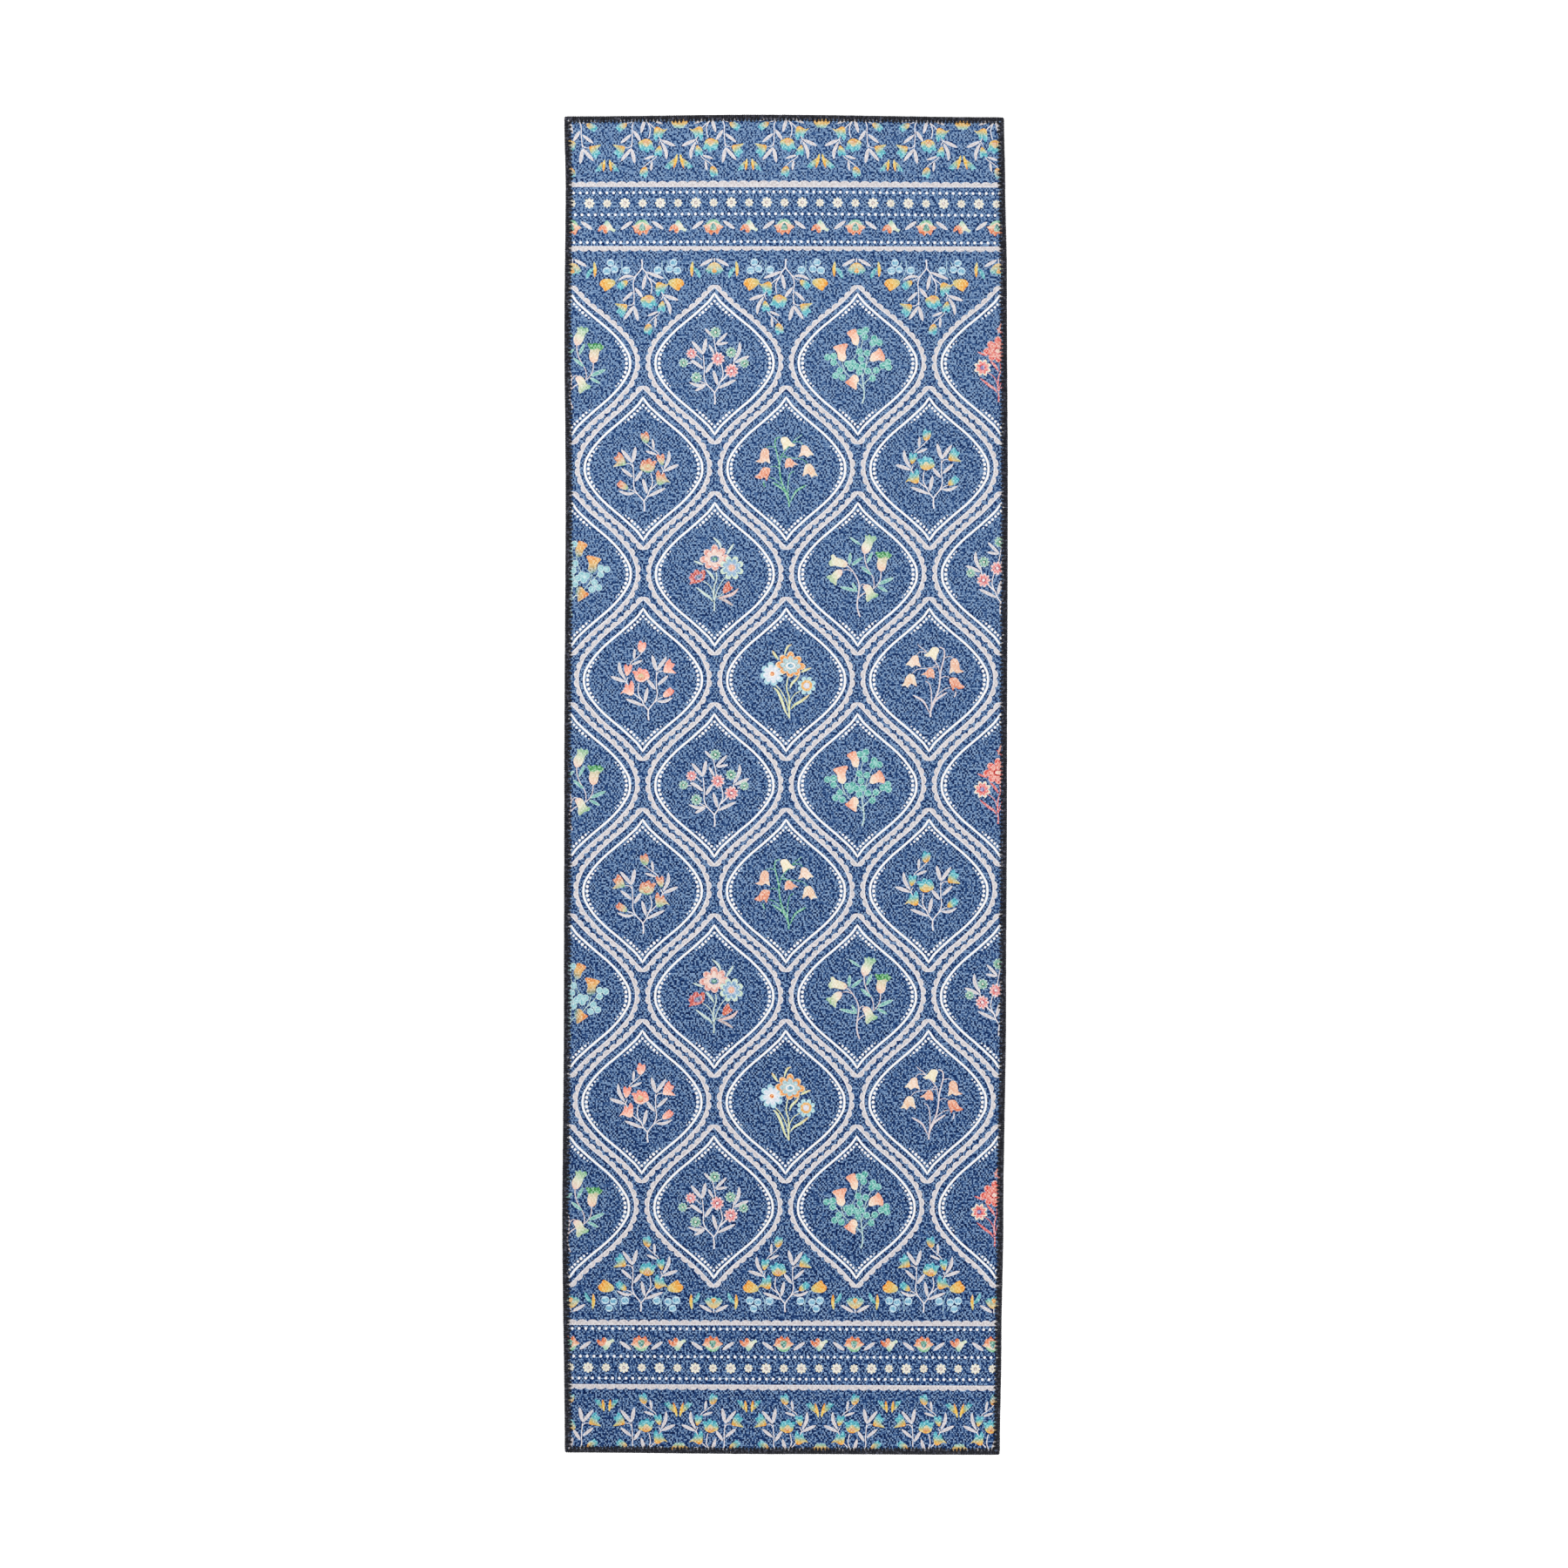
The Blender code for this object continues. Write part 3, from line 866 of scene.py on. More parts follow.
def border_daisies(place):
    """The row of cream daisies, a large and a small one in turn."""
    for x in repeats(-26.4, DAISY_REPEAT):
        flower(place, (x, 794.6), 7.2, 8, (236, 232, 212), (232, 228, 214), (190, 176, 172), 2.7,
               (226, 218, 212), 1.1, turn=22.5)
        flower(place, (x + DAISY_REPEAT / 2, 794.4), 5.8, 8, (234, 230, 208), (228, 222, 204),
               (198, 184, 178), 2.0, (208, 196, 188), 0.9, turn=22.5)


GARLAND_STEMS = (((28, 716), (28, 706), (31, 696), (37, 688)), ((33.5, 716), (37, 709), (41, 706)))
GARLAND_BELL = ((38.5, 689.5), (49, 691.5), (56, 689), (58.2, 683), (53.6, 679), (50.5, 674),
                (41, 680), (36.7, 684.5))
GARLAND_CLOVER = ((43.5, 713, 5.2), (48.6, 702, 5.6), (37.6, 704, 5.2), (22, 702.7, 5.6))
HANGING_LOTUS = ((0, 713), (5, 711.5), (9, 707.5), (12.5, 702), (10, 700.5), (8.5, 698), (4, 699),
                 (3, 695.5), (0, 698.5), (-3, 695.5), (-4, 699), (-8.5, 698), (-10, 700.5),
                 (-12.5, 702), (-9, 707.5), (-5, 711.5))


def hanging_garland(place):
    """The garland between the inner lace row and the lattice: sprigs and lotus flowers in turn."""
    for centre, mirror in ((-391, True), (-197, False), (-0.5, True), (192, False), (387, True)):
        here = Inside(place, Place(centre, 706, mirror=mirror, flip=True, turn=SPRIG_TURN, scale=0.97))
        tulips(here, SUNNY, ORANGE, foot=12)
        for side in (False, True):
            half = Inside(place, Place(centre + (0.5 if side else -0.5), 0, mirror=side))
            for points in GARLAND_STEMS:
                stem(half, points, SKY, 1.4, 1.2)
            for x, y, radius in GARLAND_CLOVER:
                disc(half, (x, y), radius, (196, 222, 234), 9)
                disc(half, (x - radius * 0.3, y), radius * 0.55, (134, 188, 214), 7)
                disc(half, (x + radius * 0.3, y), radius * 0.55, (134, 188, 214), 7)
            bell(half, GARLAND_BELL, ((206, 200, 140), (246, 196, 96), (246, 164, 66)), (55, 679), (38, 688))
    for centre in (-292, -98, 96.5, 291):
        here = Inside(place, Place(centre, 0))
        stem(here, ((0, 719), (0, 716), (0, 712)), RIM, 1.6, 1.6)
        for side in (-1, 1):
            leaf(here, ((side * 2, 718), (side * 20, 708)), 5, RIM, LEAF)
            leaf(here, ((side * 29.5, 715), (side * 31, 704), (side * 30.5, 693)), 5,
                 ((214, 212, 140), (244, 200, 100), (244, 166, 74)))
            leaf(here, ((side * 29, 706), (side * 23, 700), (side * 19.5, 691)), 6, ((96, 176, 188), (120, 200, 206)))
        fill(here, smooth(HANGING_LOTUS, 2, True), ((238, 190, 110), (226, 210, 160), (116, 190, 190), (110, 190, 196)),
             (0, 713), (0, 696))
        fill(here, smooth(((0, 706), (3.6, 700.5), (0, 698.6), (-3.6, 700.5)), 2, True), (236, 170, 96))


HALF_LOTUS = ((-9.5, 904.5), (-7, 900.4), (-4, 896.4), (-1, 897.6), (1.8, 895.6), (4, 897),
              (7.4, 896.7), (9, 900.4), (13, 903.6), (9, 909), (-6, 909))
WIDE_FAN = ((5.1, 855.1), (8.6, 853.5), (13.4, 850), (16.6, 846.8), (19.5, 842.8), (15.8, 842.3),
            (13.4, 840), (11, 843.6), (7.8, 845.2))
WIDE_BLADE = ((2, 861.5), (4, 852), (7, 841.2))
SMALL_FAN = ((6, 851), (10, 848), (14, 843), (16.5, 837.5), (12.5, 839), (9.5, 838.5), (8, 843))
SMALL_BLADE = ((3.6, 854.8), (4.5, 846), (5.4, 838))


def bud_pair(place, fan, blade):
    """Two buds back to back: a yellow blade and a fan with teal petals on each side."""
    for mirror in (False, True):
        here = Inside(place, Place(mirror=mirror))
        fill(here, smooth(fan, 2, True), ((238, 176, 80), (176, 196, 150), (104, 186, 196), (96, 184, 200)),
             fan[0], fan[4])
        leaf(here, blade, 4.2, ((240, 220, 120), (246, 196, 84), (242, 150, 60)))


def edge_garland(place):
    """The garland along the end of the rug; the binding cuts across its stalks."""
    for centre, mirror in ((-292.5, True), (-196.7, False), (-97.3, True), (-2.7, False),
                           (98.7, True), (191.3, False), (294.7, True)):
        here = Inside(place, Place(centre, 919.5, mirror=mirror, flip=True, scale=0.95))
        tulips(here, SUNNY, ORANGE, foot=2)
    for centre in (-245, -50, 145):
        bud_pair(Inside(place, Place(centre, 0)), SMALL_FAN, SMALL_BLADE)
    for centre in (-147, 48, 243):
        here = Inside(place, Place(centre, 0))
        fill(here, smooth(HALF_LOTUS, 2, True), ((240, 180, 90), (236, 190, 110), (170, 200, 170), TEAL),
             (0, 906), (0, 896))
        bud_pair(here, WIDE_FAN, WIDE_BLADE)


def end_border(place):
    """Everything between one end of the rug and the lattice."""
    edge_garland(place)
    lace_row(place, 817.2, 824.5, -30.5 - 20.5 * BORDER_LOBE)
    dot_row(place, 809, -HALF_WIDTH + 2.0)
    border_daisies(place)
    dot_row(place, 779, -HALF_WIDTH + 4.5)
    border_flowers(place)
    dot_row(place, 741, -HALF_WIDTH + 3.0)
    lace_row(place, 736.2, 728.6, -26.0 - 20.5 * BORDER_LOBE)
    hanging_garland(place)


def draw_print():
    """The whole printed pattern."""
    lattice()
    sprays()
    end_border(Place())
    end_border(Place(0, -2.8, flip=True))


# ---------------------------------------------------------------- the three layers

RIM_INSET = HALF_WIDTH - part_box("face_cloth")[1][0] / MM
PINCH = 8.5  # inset where the binding's pinch ends
PINCH_END = 12.5
CORNER = 7.0  # radius of the rug's corners
RIM_LEVELS = {"grip_backing": (1.4, 1.9), "felt_core": (2.2, 2.7), "face_cloth": (3.0, 4.0)}


def rounded_box(inset, radius, corner_points=5, straight_points=1):
    """The rug's outline at an inset, anticlockwise, with rounded corners."""
    wide, long = HALF_WIDTH - inset, HALF_LENGTH - inset
    outline = []
    for quarter, (sx, sy) in enumerate(((1, 1), (-1, 1), (-1, -1), (1, -1))):
        for k in range(corner_points):
            angle = math.pi / 2 * (quarter + k / (corner_points - 1))
            outline.append((sx * (wide - radius) + radius * math.cos(angle),
                            sy * (long - radius) + radius * math.sin(angle)))
        ahead = ((-1, 1), (-1, -1), (1, -1), (1, 1))[quarter]
        start = outline[-1]
        finish = (ahead[0] * (wide - radius), ahead[1] * long) if quarter % 2 == 0 else (
            ahead[0] * wide, ahead[1] * (long - radius))
        for k in range(1, straight_points):
            share = k / straight_points
            outline.append((start[0] + (finish[0] - start[0]) * share,
                            start[1] + (finish[1] - start[1]) * share))
    return outline


def inset_at(x, y):
    """How far inside the rug's straight outline a point lies."""
    return min(HALF_WIDTH - abs(x), HALF_LENGTH - abs(y))


def level(x, y, rim, body):
    """Height of a layer's face, easing from its pinched rim to its full thickness."""
    share = (inset_at(x, y) - PINCH) / (PINCH_END - PINCH)
    share = min(max(share, 0.0), 1.0)
    return rim + (body - rim) * share * share * (3 - 2 * share)


def cut(outlines):
    """Cuts the first outline's area into triangles along all the others. Returns points, triangles
    and, for each triangle, the index of the last outline over it."""
    points, faces = [], []
    for outline in outlines:
        faces.append(list(range(len(points), len(points) + len(outline))))
        points += [Vector(point) for point in outline]
    edge = [len(points), len(points) + 1]
    points += [Vector((-HALF_WIDTH, 0)), Vector((HALF_WIDTH, 0))]
    result = geometry.delaunay_2d_cdt(points, [edge], faces, 0, 1e-3)
    kept = [(face, max(owners)) for face, owners in zip(result[2], result[5]) if 0 in owners]
    used = sorted({index for face, _ in kept for index in face})
    place = {index: new for new, index in enumerate(used)}
    triangles = [[place[index] for index in face] for face, _ in kept]
    return [result[0][index] for index in used], triangles, [owner for _, owner in kept]


def slab(name, top_outlines, bottom_outlines, top_height, bottom_height):
    """A closed layer: a cut top, a cut bottom and the edge between them. Returns the object and
    the owner of each top triangle, the top triangles being the first faces."""
    base = rounded_box(RIM_INSET, CORNER - RIM_INSET, straight_points=24)
    rings = [rounded_box(inset, 0.5, 2) for inset in (PINCH, 9.5, 10.5, 11.5, PINCH_END, 14.5)]
    top, top_faces, owners = cut([base] + rings + top_outlines)
    rim = rim_loop(top_faces)
    bottom, bottom_faces, _ = cut([[tuple(top[i]) for i in rim]] + rings + bottom_outlines)
    vertices = [(*lie(x, y), top_height(x, y)) for x, y in top]
    vertices += [(*lie(x, y), bottom_height(x, y)) for x, y in bottom]
    first = len(top)
    faces = [tuple(face) for face in top_faces]
    faces += [tuple(first + index for index in reversed(face)) for face in bottom_faces]
    where = {tuple(round(value, 2) for value in bottom[i]): i for i in rim_loop(bottom_faces)}
    low_rim = [first + where[tuple(round(value, 2) for value in top[i])] for i in rim]
    for k in range(-1, len(rim) - 1):
        faces.append((rim[k + 1], rim[k], low_rim[k], low_rim[k + 1]))
    mesh = bpy.data.meshes.new(name)
    mesh.from_pydata([tuple(value * MM for value in vertex) for vertex in vertices], [], faces)
    obj = bpy.data.objects.new(name, mesh)
    bpy.context.scene.collection.objects.link(obj)
    return obj, owners, (top, bottom)


def rim_loop(faces):
    """The points round the outside of some triangles, in order."""
    used = {edge for face in faces for edge in zip(face, face[1:] + face[:1])}
    following = {start: end for start, end in used if (end, start) not in used}
    loop = [min(following)]
    while following[loop[-1]] != loop[0]:
        loop.append(following[loop[-1]])
    return loop


def colour_at(shape, point):
    """A shape's colour at a point."""
    _, colours, start, end = shape
    if len(colours) == 1:
        return colours[0]
    axis = (end[0] - start[0], end[1] - start[1])
    square = axis[0] ** 2 + axis[1] ** 2 or 1.0
    share = ((point[0] - start[0]) * axis[0] + (point[1] - start[1]) * axis[1]) / square
    share = min(max(share, 0.0), 0.9999) * (len(colours) - 1)
    low, high = colours[int(share)], colours[int(share) + 1]
    part = share - int(share)
    return tuple(a + (b - a) * part for a, b in zip(low, high))


UV_SCALE = 1 / (4 * HALF_WIDTH + 12)  # both halves of the face side by side
UV_GAP = 4.0


def bake_place(x, y, upper):
    """Where a point of the face goes on the bake map: its two halves side by side, and the
    underside, small, above them."""
    if upper:
        shift = HALF_WIDTH + 3 if y >= 0 else 3 * HALF_WIDTH + 9
        return (x + shift) * UV_SCALE, (abs(y) + 3) * UV_SCALE
    return 0.02 + (y + HALF_LENGTH) * UV_SCALE * 0.35, 0.785 + (x + HALF_WIDTH) * UV_SCALE * 0.35


def make_face():
    """The printed face."""
    low, high = span("face_cloth")
    rim_low, rim_high = RIM_LEVELS["face_cloth"]
    draw_print()
    obj, owners, (top, bottom) = slab(
        "printed_face", [shape[0] for shape in SHAPES], [],
        lambda x, y: level(x, y, rim_high, high), lambda x, y: level(x, y, rim_low, low))
    mesh = obj.data
    ground = linear(inked(FIELD))
    back = linear(BACK)
    plain = 7  # the outline and its six rings come before the pattern's shapes
    colours, places = [], []
    flat = list(top) + list(bottom)
    for index, polygon in enumerate(mesh.polygons):
        upper = index < len(owners)
        middle = sum(flat[v][1] for v in polygon.vertices) / len(polygon.vertices)
        for vertex in polygon.vertices:
            x, y = flat[vertex]
            if not upper:
                colours += (*back, 1.0)
            elif owners[index] < plain:
                colours += (*ground, 1.0)
            else:
                colours += (*colour_at(SHAPES[owners[index] - plain], (x, y)), 1.0)
            if upper and middle < 0 and y == 0:
                y = -1e-6
            places += bake_place(x, y if middle * y > 0 else math.copysign(abs(y) + 1e-6, middle), upper)
    layer = mesh.color_attributes.new(name="Print", type="FLOAT_COLOR", domain="CORNER")
    layer.data.foreach_set("color", colours)
    mesh.uv_layers.new(name="OFBake").data.foreach_set("uv", places)
    return obj


def make_core():
    """The felt between the face and the backing."""
    low, high = span("felt_core")
    rim_low, rim_high = RIM_LEVELS["felt_core"]
    return slab("felt_core_layer", [], [], lambda x, y: level(x, y, rim_high, high),
                lambda x, y: level(x, y, rim_low, low))[0]


DOT_SPACING = 17.0
GRIP_DOT = 2.9
GRIP_RECESS = 0.45


def make_backing():
    """The grip backing: a thin rubbery coat with raised round dots on its underside."""
    low, high = span("grip_backing")
    rim_low, rim_high = RIM_LEVELS["grip_backing"]
    dots = []
    rows = int((HALF_LENGTH - 22) * 2 / (DOT_SPACING * 0.866))
    columns = int((HALF_WIDTH - 22) * 2 / DOT_SPACING)
    for row in range(rows + 1):
        for column in range(columns + row % 2):
            x = (column - (columns - 1 + row % 2) / 2) * DOT_SPACING
            y = (row - rows / 2) * DOT_SPACING * 0.866
            for radius in (GRIP_DOT, GRIP_DOT * 0.68):
                dots.append([(x + radius * math.cos(math.tau * k / 8), y + radius * math.sin(math.tau * k / 8))
                             for k in range(8)])
    spots = {(round(x, 1), round(y, 1)) for outline in dots[1::2] for x, y in outline}

    def underside(x, y):
        if (round(x, 1), round(y, 1)) in spots:
            return low
        return level(x, y, rim_low, low + GRIP_RECESS)

    return slab("dotted_grip_backing", [], dots,
                lambda x, y: level(x, y, rim_high, high), underside)[0]


# ---------------------------------------------------------------- the overlocked edge

EDGES = (("near_end", HALF_LENGTH, HALF_WIDTH, 5.0, 0), ("right_side", HALF_WIDTH, HALF_LENGTH, 5.45, 1),
         ("far_end", HALF_LENGTH, HALF_WIDTH, 5.0, 2), ("left_side", HALF_WIDTH, HALF_LENGTH, 5.45, 3))
NEEDLE_LINE = 9.4  # inset of the stitches' inner points
MIDDLE = TOP / 2
YARN_HALF = 0.55
RNG = random.Random(7)


def on_edge(edge, along, inset, height):
    """A point given along an edge, inwards from it and up, in the rug's frame."""
    _, distance, _, _, turn = edge
    x, y = along, inset - distance
    for _ in range(turn):
        x, y = -y, x
    return (*lie(x, y), height)


def tube(name, edge, path, sides=6):
    """A closed flattened tube. Each point of the path is (along, inset, height, half width, half
    thickness, lean), lean being the turn of its flat side from facing up (0) to facing out (90)."""
    rings, faces = [], []
    last = len(path) - 1
    for index, (along, inset, height, wide, thick, lean) in enumerate(path):
        before, after = path[max(index - 1, 0)], path[min(index + 1, last)]
        forward = Vector((after[0] - before[0], after[1] - before[1], after[2] - before[2])).normalized()
        facing = Vector((0, -math.sin(math.radians(lean)), math.cos(math.radians(lean))))
        across = forward.cross(facing)
        across = across.normalized() if across.length > 0.05 else Vector((1, 0, 0))
        facing = across.cross(forward).normalized()
        centre = Vector((along, inset, height))
        for k in range(sides):
            angle = math.tau * k / sides
            point = centre + across * wide * math.cos(angle) + facing * thick * math.sin(angle)
            rings.append(on_edge(edge, *point))
    for index in range(last):
        for k in range(sides):
            a, b = index * sides + k, index * sides + (k + 1) % sides
            faces.append((a, b, b + sides, a + sides))
    faces.append(tuple(range(sides))[::-1])
    faces.append(tuple(last * sides + k for k in range(sides)))
    mesh = bpy.data.meshes.new(name)
    mesh.from_pydata([tuple(value * MM for value in point) for point in rings], [], faces)
    mesh.shade_smooth()
    obj = bpy.data.objects.new(name, mesh)
    bpy.context.scene.collection.objects.link(obj)
    return obj


def stitches(edge):
    """Places of the stitches along an edge, each (along, how far in it reaches, width)."""
    _, _, half, pitch, _ = edge
    count = round((2 * half - 3) / pitch)
    pitch = (2 * half - 3) / count
    places = []
    for k in range(count):
        along = -half + 1.5 + pitch * (k + 0.5) + RNG.uniform(-0.3, 0.3)
        reach = min(NEEDLE_LINE + RNG.uniform(-1.4, 0.9), half - abs(along) + 1.5)
        places.append((along, max(reach, 2.5), RNG.uniform(0.9, 1.08)))
    return places, pitch


def loop_path(places, pitch, upper):
    """The path of a looper: up from the edge's middle, over to the needle line and back."""
    side = 1 if upper else -1
    face = TOP - YARN_HALF if upper else YARN_HALF + 0.05
    path = []
    for along, reach, width in places:
        quarter = pitch * 0.25
        wide = quarter * 1.0 * width
        bulge = RNG.uniform(-0.15, 0.3)
        legs = ((1.0, 0.5 - bulge, MIDDLE, 0.8, 92), (1.0, 0.62 - bulge, MIDDLE + side * 1.1, 0.95, 75),
                (1.0, 1.5, face - side * 0.12, 1.05, 25), (0.98, reach * 0.5, face + side * 0.05, 1.12, 0),
                (0.6, reach * 0.74, face + side * 0.1, 0.9, 0), (0.1, reach + 0.7, face + side * 0.02, 0.42, 0))
        for sign in (-1, 1):
            for out, inset, height, part, lean in (legs if sign < 0 else legs[::-1]):
                path.append((along + sign * quarter * out, inset, height, wide * part, YARN_HALF,
                             lean if upper else 180 - lean))
        path.append((along + pitch / 2, 0.62, MIDDLE - side * 0.5, wide * 0.6, YARN_HALF, 90))
    return path


def make_binding(material, thread):
    """The three yarns on each of the four edges."""
    pieces = []
    for edge in EDGES:
        name = edge[0]
        places, pitch = stitches(edge)
        upper = tube(name + "_upper_looper_yarn", edge, loop_path(places, pitch, True))
        shifted = [(along + pitch / 2, reach, width) for along, reach, width in places[:-1]]
        lower = tube(name + "_lower_looper_yarn", edge, loop_path(shifted, pitch, False))
        path = []
        for along, reach, _ in places:
            if reach > NEEDLE_LINE - 1.2:
                path.append((along, NEEDLE_LINE - 1.9, TOP + 0.12, 0.3, 0.3, 0))
                path.append((along + pitch / 2, NEEDLE_LINE - 1.5, 4.35, 0.3, 0.3, 0))
        needle = tube(name + "_needle_stitches", edge, path, 5)
        for piece, node, slot, finish in (
                (upper, "_upper_looper", "binding_yarn", material),
                (lower, "_lower_looper", "binding_yarn", material),
                (needle, "_needle_thread", "needle_thread", thread)):
            piece.data.materials.append(finish)
            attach(piece, "root")
            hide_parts(name + node)
            pieces.append(piece)
    return pieces


# ---------------------------------------------------------------- materials

class Material:
    """A small helper for node materials: add() makes a node and sets or links its inputs."""

    def __init__(self, name, roughness, specular=0.25, sheen=0.0):
        self.material = bpy.data.materials.new(name)
        self.material.use_nodes = True
        self.tree = self.material.node_tree
        self.shader = self.tree.nodes["Principled BSDF"]
        self.shader.inputs["Roughness"].default_value = roughness
        self.shader.inputs["Specular IOR Level"].default_value = specular
        self.shader.inputs["Sheen Weight"].default_value = sheen

    def add(self, kind, *inputs, **settings):
        node = self.tree.nodes.new("ShaderNode" + kind)
        for key, value in settings.items():
            setattr(node, key, value)
        for key, value in inputs:
            if isinstance(value, bpy.types.NodeSocket):
                self.tree.links.new(value, node.inputs[key])
            else:
                node.inputs[key].default_value = value
        return node

    def maths(self, operation, *values):
        return self.add("Math", *enumerate(values), operation=operation).outputs[0]

    def place(self, scale):
        """Object coordinates in metres, scaled."""
        coordinates = self.add("TexCoord").outputs["Object"]
        return self.add("Mapping", ("Vector", coordinates), ("Scale", scale)).outputs[0]

    def noise(self, scale, detail=2.0, roughness=0.5):
        """Noise with the given number of features a metre along each axis, 0 to 1."""
        return self.add("TexNoise", ("Vector", self.place(scale)), ("Scale", 1.0), ("Detail", detail),
                        ("Roughness", roughness)).outputs["Fac"]

    def spread(self, value, low, high, to_low, to_high):
        return self.add("MapRange", ("Value", value), ("From Min", low), ("From Max", high),
                        ("To Min", to_low), ("To Max", to_high)).outputs[0]

    def bump(self, height, strength, distance):
        node = self.add("Bump", ("Height", height), ("Strength", strength), ("Distance", distance))
        self.tree.links.new(node.outputs[0], self.shader.inputs["Normal"])

    def colour(self, socket):
        self.tree.links.new(socket, self.shader.inputs["Base Color"])


RIB_PITCH = 0.00245
NUB_PITCH = 0.00205


def woven_print_with_painted_light():
    """The printed chenille: weft ribs across the rug, broken into short light and dark dashes, with painted shade in
    the hollows of the weave, painted highlight on its raised yarn, and painted light that makes the rug lighter towards
    its far end and darker towards its near end.
    """
    paint = Material("woven_print_with_painted_light", 0.95, 0.08)
    flat = paint.add("SeparateXYZ", ("Vector", paint.add("TexCoord").outputs["Object"]))
    sway = paint.spread(paint.noise((30, 30, 30), 2), 0.3, 0.7, -0.0006, 0.0006)
    wobble = paint.spread(paint.noise((330, 300, 1), 2), 0.3, 0.7, -0.0005, 0.0005)
    shift = paint.spread(paint.noise((290, 350, 2), 2), 0.3, 0.7, -0.0006, 0.0006)
    height = paint.maths("ADD", paint.maths("ADD", flat.outputs["Y"], sway), wobble)
    drift = paint.spread(paint.noise((26, 34, 3), 2), 0.3, 0.7, -0.0012, 0.0012)
    width = paint.maths("ADD", paint.maths("ADD", flat.outputs["X"], drift), shift)
    rows = paint.maths("DIVIDE", height, RIB_PITCH)
    row = paint.maths("FLOOR", rows)
    ridge = paint.maths("ABSOLUTE", paint.maths("SINE", paint.maths("MULTIPLY", rows, math.pi)))
    columns = paint.maths("DIVIDE", width, NUB_PITCH)
    column = paint.maths("FLOOR", columns)
    across = paint.maths("SINE", paint.maths("MULTIPLY", columns, math.pi))
    along = paint.maths("SINE", paint.maths("MULTIPLY", rows, math.pi))
    check = paint.maths("MULTIPLY", across, along)  # over and under in turn
    nub = paint.maths("ABSOLUTE", check)
    chances = []
    for right, up in ((0, 0), (1, 0), (0, 1)):
        spot = paint.add("CombineXYZ", ("X", paint.maths("ADD", column, right)),
                         ("Y", paint.maths("ADD", row, up)), ("Z", 0.0)).outputs[0]
        chances.append(paint.add("TexWhiteNoise", ("Vector", spot), noise_dimensions="3D").outputs["Value"])
    beside = paint.maths("MULTIPLY", paint.maths("ADD", chances[1], chances[2]), 0.5)
    chance = paint.maths("SUBTRACT", chances[0], beside)  # so that neighbours differ
    strand = paint.add("CombineXYZ", ("X", paint.maths("MULTIPLY", flat.outputs["X"], 430)),
                       ("Y", paint.maths("MULTIPLY", row, 7.31)), ("Z", 0.0)).outputs[0]
    dash = paint.add("TexNoise", ("Vector", strand), ("Scale", 1.0), ("Detail", 1.5)).outputs["Fac"]
    cloud = paint.noise((40, 40, 1), 4, 0.6)
    fine = paint.noise((800, 860, 1), 1)
    picked = paint.maths("MULTIPLY", paint.spread(chance, -0.42, 0.42, -1, 1), paint.spread(nub, 0, 0.4, 0.2, 1))
    tone = paint.maths("MULTIPLY", picked, 1.45)
    for value, weight in ((paint.spread(dash, 0.3, 0.7, -1, 1), 0.12),
                          (paint.spread(cloud, 0.3, 0.7, -1, 1), 0.03),
                          # painted shade and highlight: the yarn lighter and darker in turn where it goes over and
                          # under
                          (check, 0.12),
                          # painted light: the print lighter towards the rug's far end and darker towards its near end
                          (paint.maths("SUBTRACT", flat.outputs["Y"], 0.25), 0.26),
                          (paint.spread(fine, 0.3, 0.7, -1, 1), 0.45),
                          # painted shade in the valleys between the ribs and painted highlight on the raised nubs
                          (paint.spread(ridge, 0, 1, -1.27, 0.73), 0.3),
                          (paint.spread(nub, 0, 1, -0.8, 1.2), 0.15)):
        tone = paint.maths("ADD", tone, paint.maths("MULTIPLY", value, weight))
    printed = paint.add("VertexColor", layer_name="Print").outputs["Color"]
    lightness = paint.add("RGBToBW", ("Color", printed)).outputs[0]
    tone = paint.maths("MULTIPLY", tone, paint.spread(lightness, 0.16, 0.5, 1.0, 0.3))
    gamma = paint.maths("MINIMUM", paint.maths("MAXIMUM", paint.maths("SUBTRACT", 1.0, tone), 0.5), 3.1)
    shaded = paint.add("Gamma", ("Color", printed), ("Gamma", gamma)).outputs[0]
    paint.colour(shaded)
    relief = paint.maths("ADD", nub, paint.maths("MULTIPLY", picked, 0.5))
    relief = paint.maths("ADD", relief, paint.maths("MULTIPLY", fine, 0.4))
    paint.bump(relief, 0.45, 0.0004)
    return paint.material


def yarn(name, dark, light):
    """Spun yarn: fine twisted fibres, dark with paler flecks."""
    paint = Material(name, 0.85, 0.2, 0.25)
    fibre = paint.noise((900, 900, 900), 3, 0.6)
    fleck = paint.noise((260, 260, 400), 2, 0.6)
    share = paint.maths("MULTIPLY", paint.spread(fleck, 0.52, 0.75, 0, 1), fibre)
    mix = paint.add("Mix", (0, share), (6, (*linear(dark), 1)), (7, (*linear(light), 1)),
                    data_type="RGBA")
    paint.colour(mix.outputs[2])
    paint.bump(fibre, 0.6, 0.0003)
    return paint.material


def speckled(name, dark, light, scale, roughness, bump):
    """Felt or rubber: two close colours mixed by noise, with a little relief."""
    paint = Material(name, roughness, 0.2)
    grain = paint.noise((scale, scale, scale), 4, 0.65)
    mix = paint.add("Mix", (0, paint.spread(grain, 0.35, 0.65, 0, 1)), (6, (*linear(dark), 1)),
                    (7, (*linear(light), 1)), data_type="RGBA")
    paint.colour(mix.outputs[2])
    paint.bump(grain, bump, 0.0003)
    return paint.material


# ---------------------------------------------------------------- the pieces

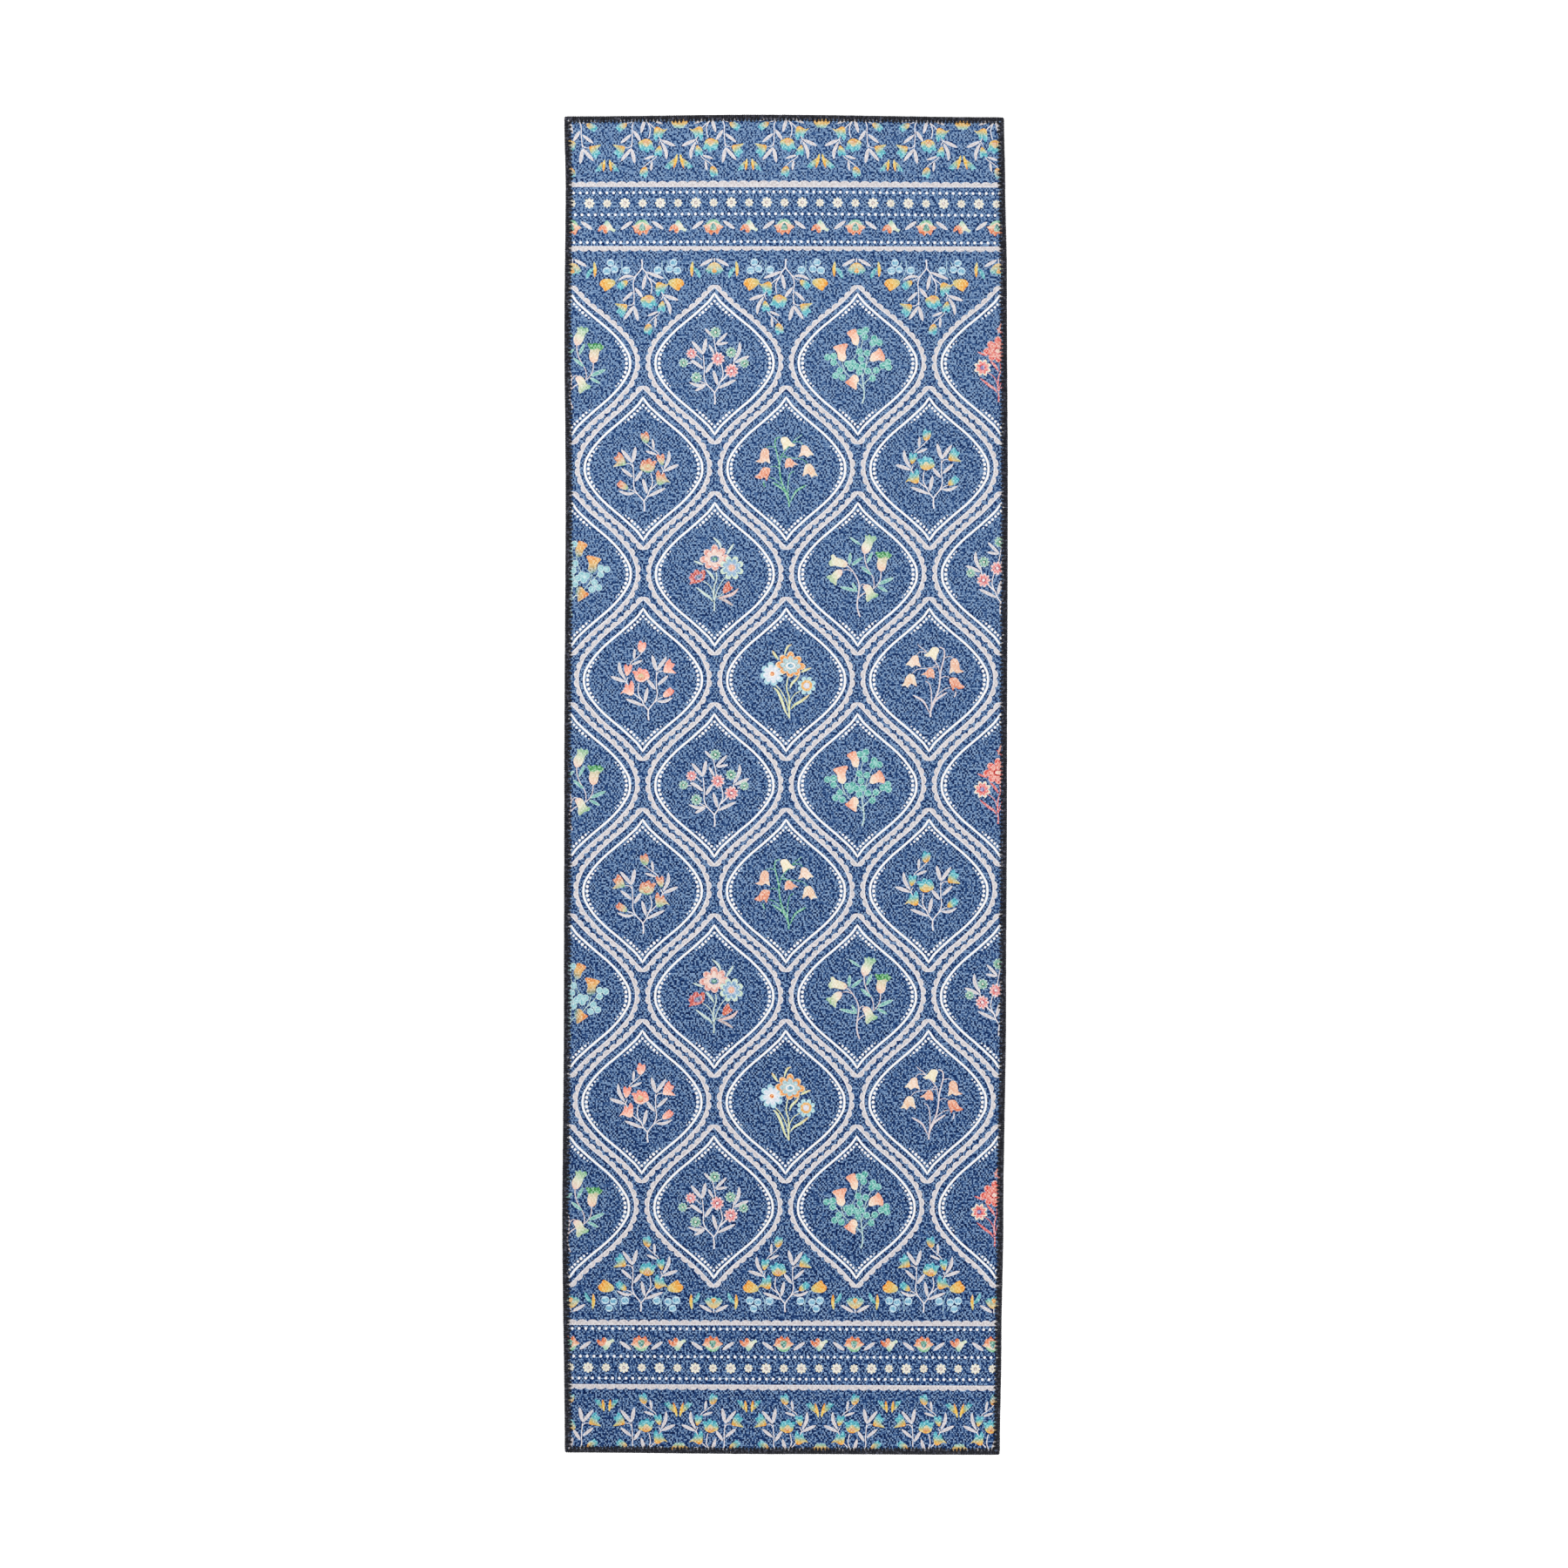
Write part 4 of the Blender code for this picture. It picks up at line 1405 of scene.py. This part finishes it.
def make_layers():
    """Face, core and backing, each given its material and put under the root body, with its CAD node hidden."""
    backing = make_backing()
    core = make_core()
    face = make_face()
    rows = (
        (backing, "grip_backing", "grip_rubber", speckled("grip_rubber", (196, 192, 184),
                                                          (220, 217, 210), 300, 0.7, 0.3)),
        (core, "felt_core", "felt", speckled("grey_felt", (120, 120, 124), (168, 168, 172), 700, 0.97,
                                             0.6)),
        (face, "face_cloth", "printed_face", woven_print_with_painted_light()),
    )
    for piece, node, slot, material in rows:
        piece.data.materials.append(material)
        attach(piece, "root")
        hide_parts(node)


# ---------------------------------------------------------------- studio

CAMERA_DISTANCE = 5.058  # above the rug's top
LENS = 85.0
FLOOR_SIZE = 30.0


def area_light(name, size, energy, place, target):
    """A soft box that shines at a point."""
    light = bpy.data.lights.new(name, "AREA")
    light.shape = "RECTANGLE"
    light.size, light.size_y = size
    light.energy = energy
    obj = bpy.data.objects.new(name, light)
    obj.location = place
    obj.rotation_euler = (Vector(target) - Vector(place)).to_track_quat("-Z", "Y").to_euler()
    obj.visible_camera = False
    bpy.context.scene.collection.objects.link(obj)


def make_studio():
    """Floor, lights, surroundings and the camera, straight above the rug."""
    bpy.ops.mesh.primitive_plane_add(size=FLOOR_SIZE)
    floor = bpy.context.object
    floor.name = "studio_floor"
    paint = Material("pale_floor", 0.9, 0.1)
    paint.shader.inputs["Base Color"].default_value = (0.92, 0.92, 0.92, 1)
    paint.shader.inputs["Emission Color"].default_value = (1, 1, 1, 1)
    paint.shader.inputs["Emission Strength"].default_value = 0.55
    floor.data.materials.append(paint.material)

    world = bpy.data.worlds.new("studio_air")
    world.use_nodes = True
    world.node_tree.nodes["Background"].inputs["Color"].default_value = (1, 1, 1, 1)
    world.node_tree.nodes["Background"].inputs["Strength"].default_value = 0.42
    bpy.context.scene.world = world

    area_light("key_softbox", (1.8, 1.8), 35, (-0.7, 1.2, 2.2), (0, 0.4, 0))
    area_light("fill_softbox", (2.4, 2.4), 38, (0.9, -1.5, 2.3), (0, -0.5, 0))

    bpy.context.scene.view_settings.view_transform = "Standard"
    camera = bpy.data.cameras.new("photo_camera")
    camera.lens = LENS
    camera.sensor_width = 36.0
    camera.clip_end = 100.0
    obj = bpy.data.objects.new("photo_camera", camera)
    obj.location = (-0.0030, 0.0006, CAMERA_DISTANCE + TOP * MM)
    bpy.context.scene.collection.objects.link(obj)
    bpy.context.scene.camera = obj


make_layers()
make_binding(yarn("navy_yarn", (8, 10, 24), (128, 130, 150)), yarn("navy_thread", (8, 9, 20), (70, 72, 92)))
make_studio()
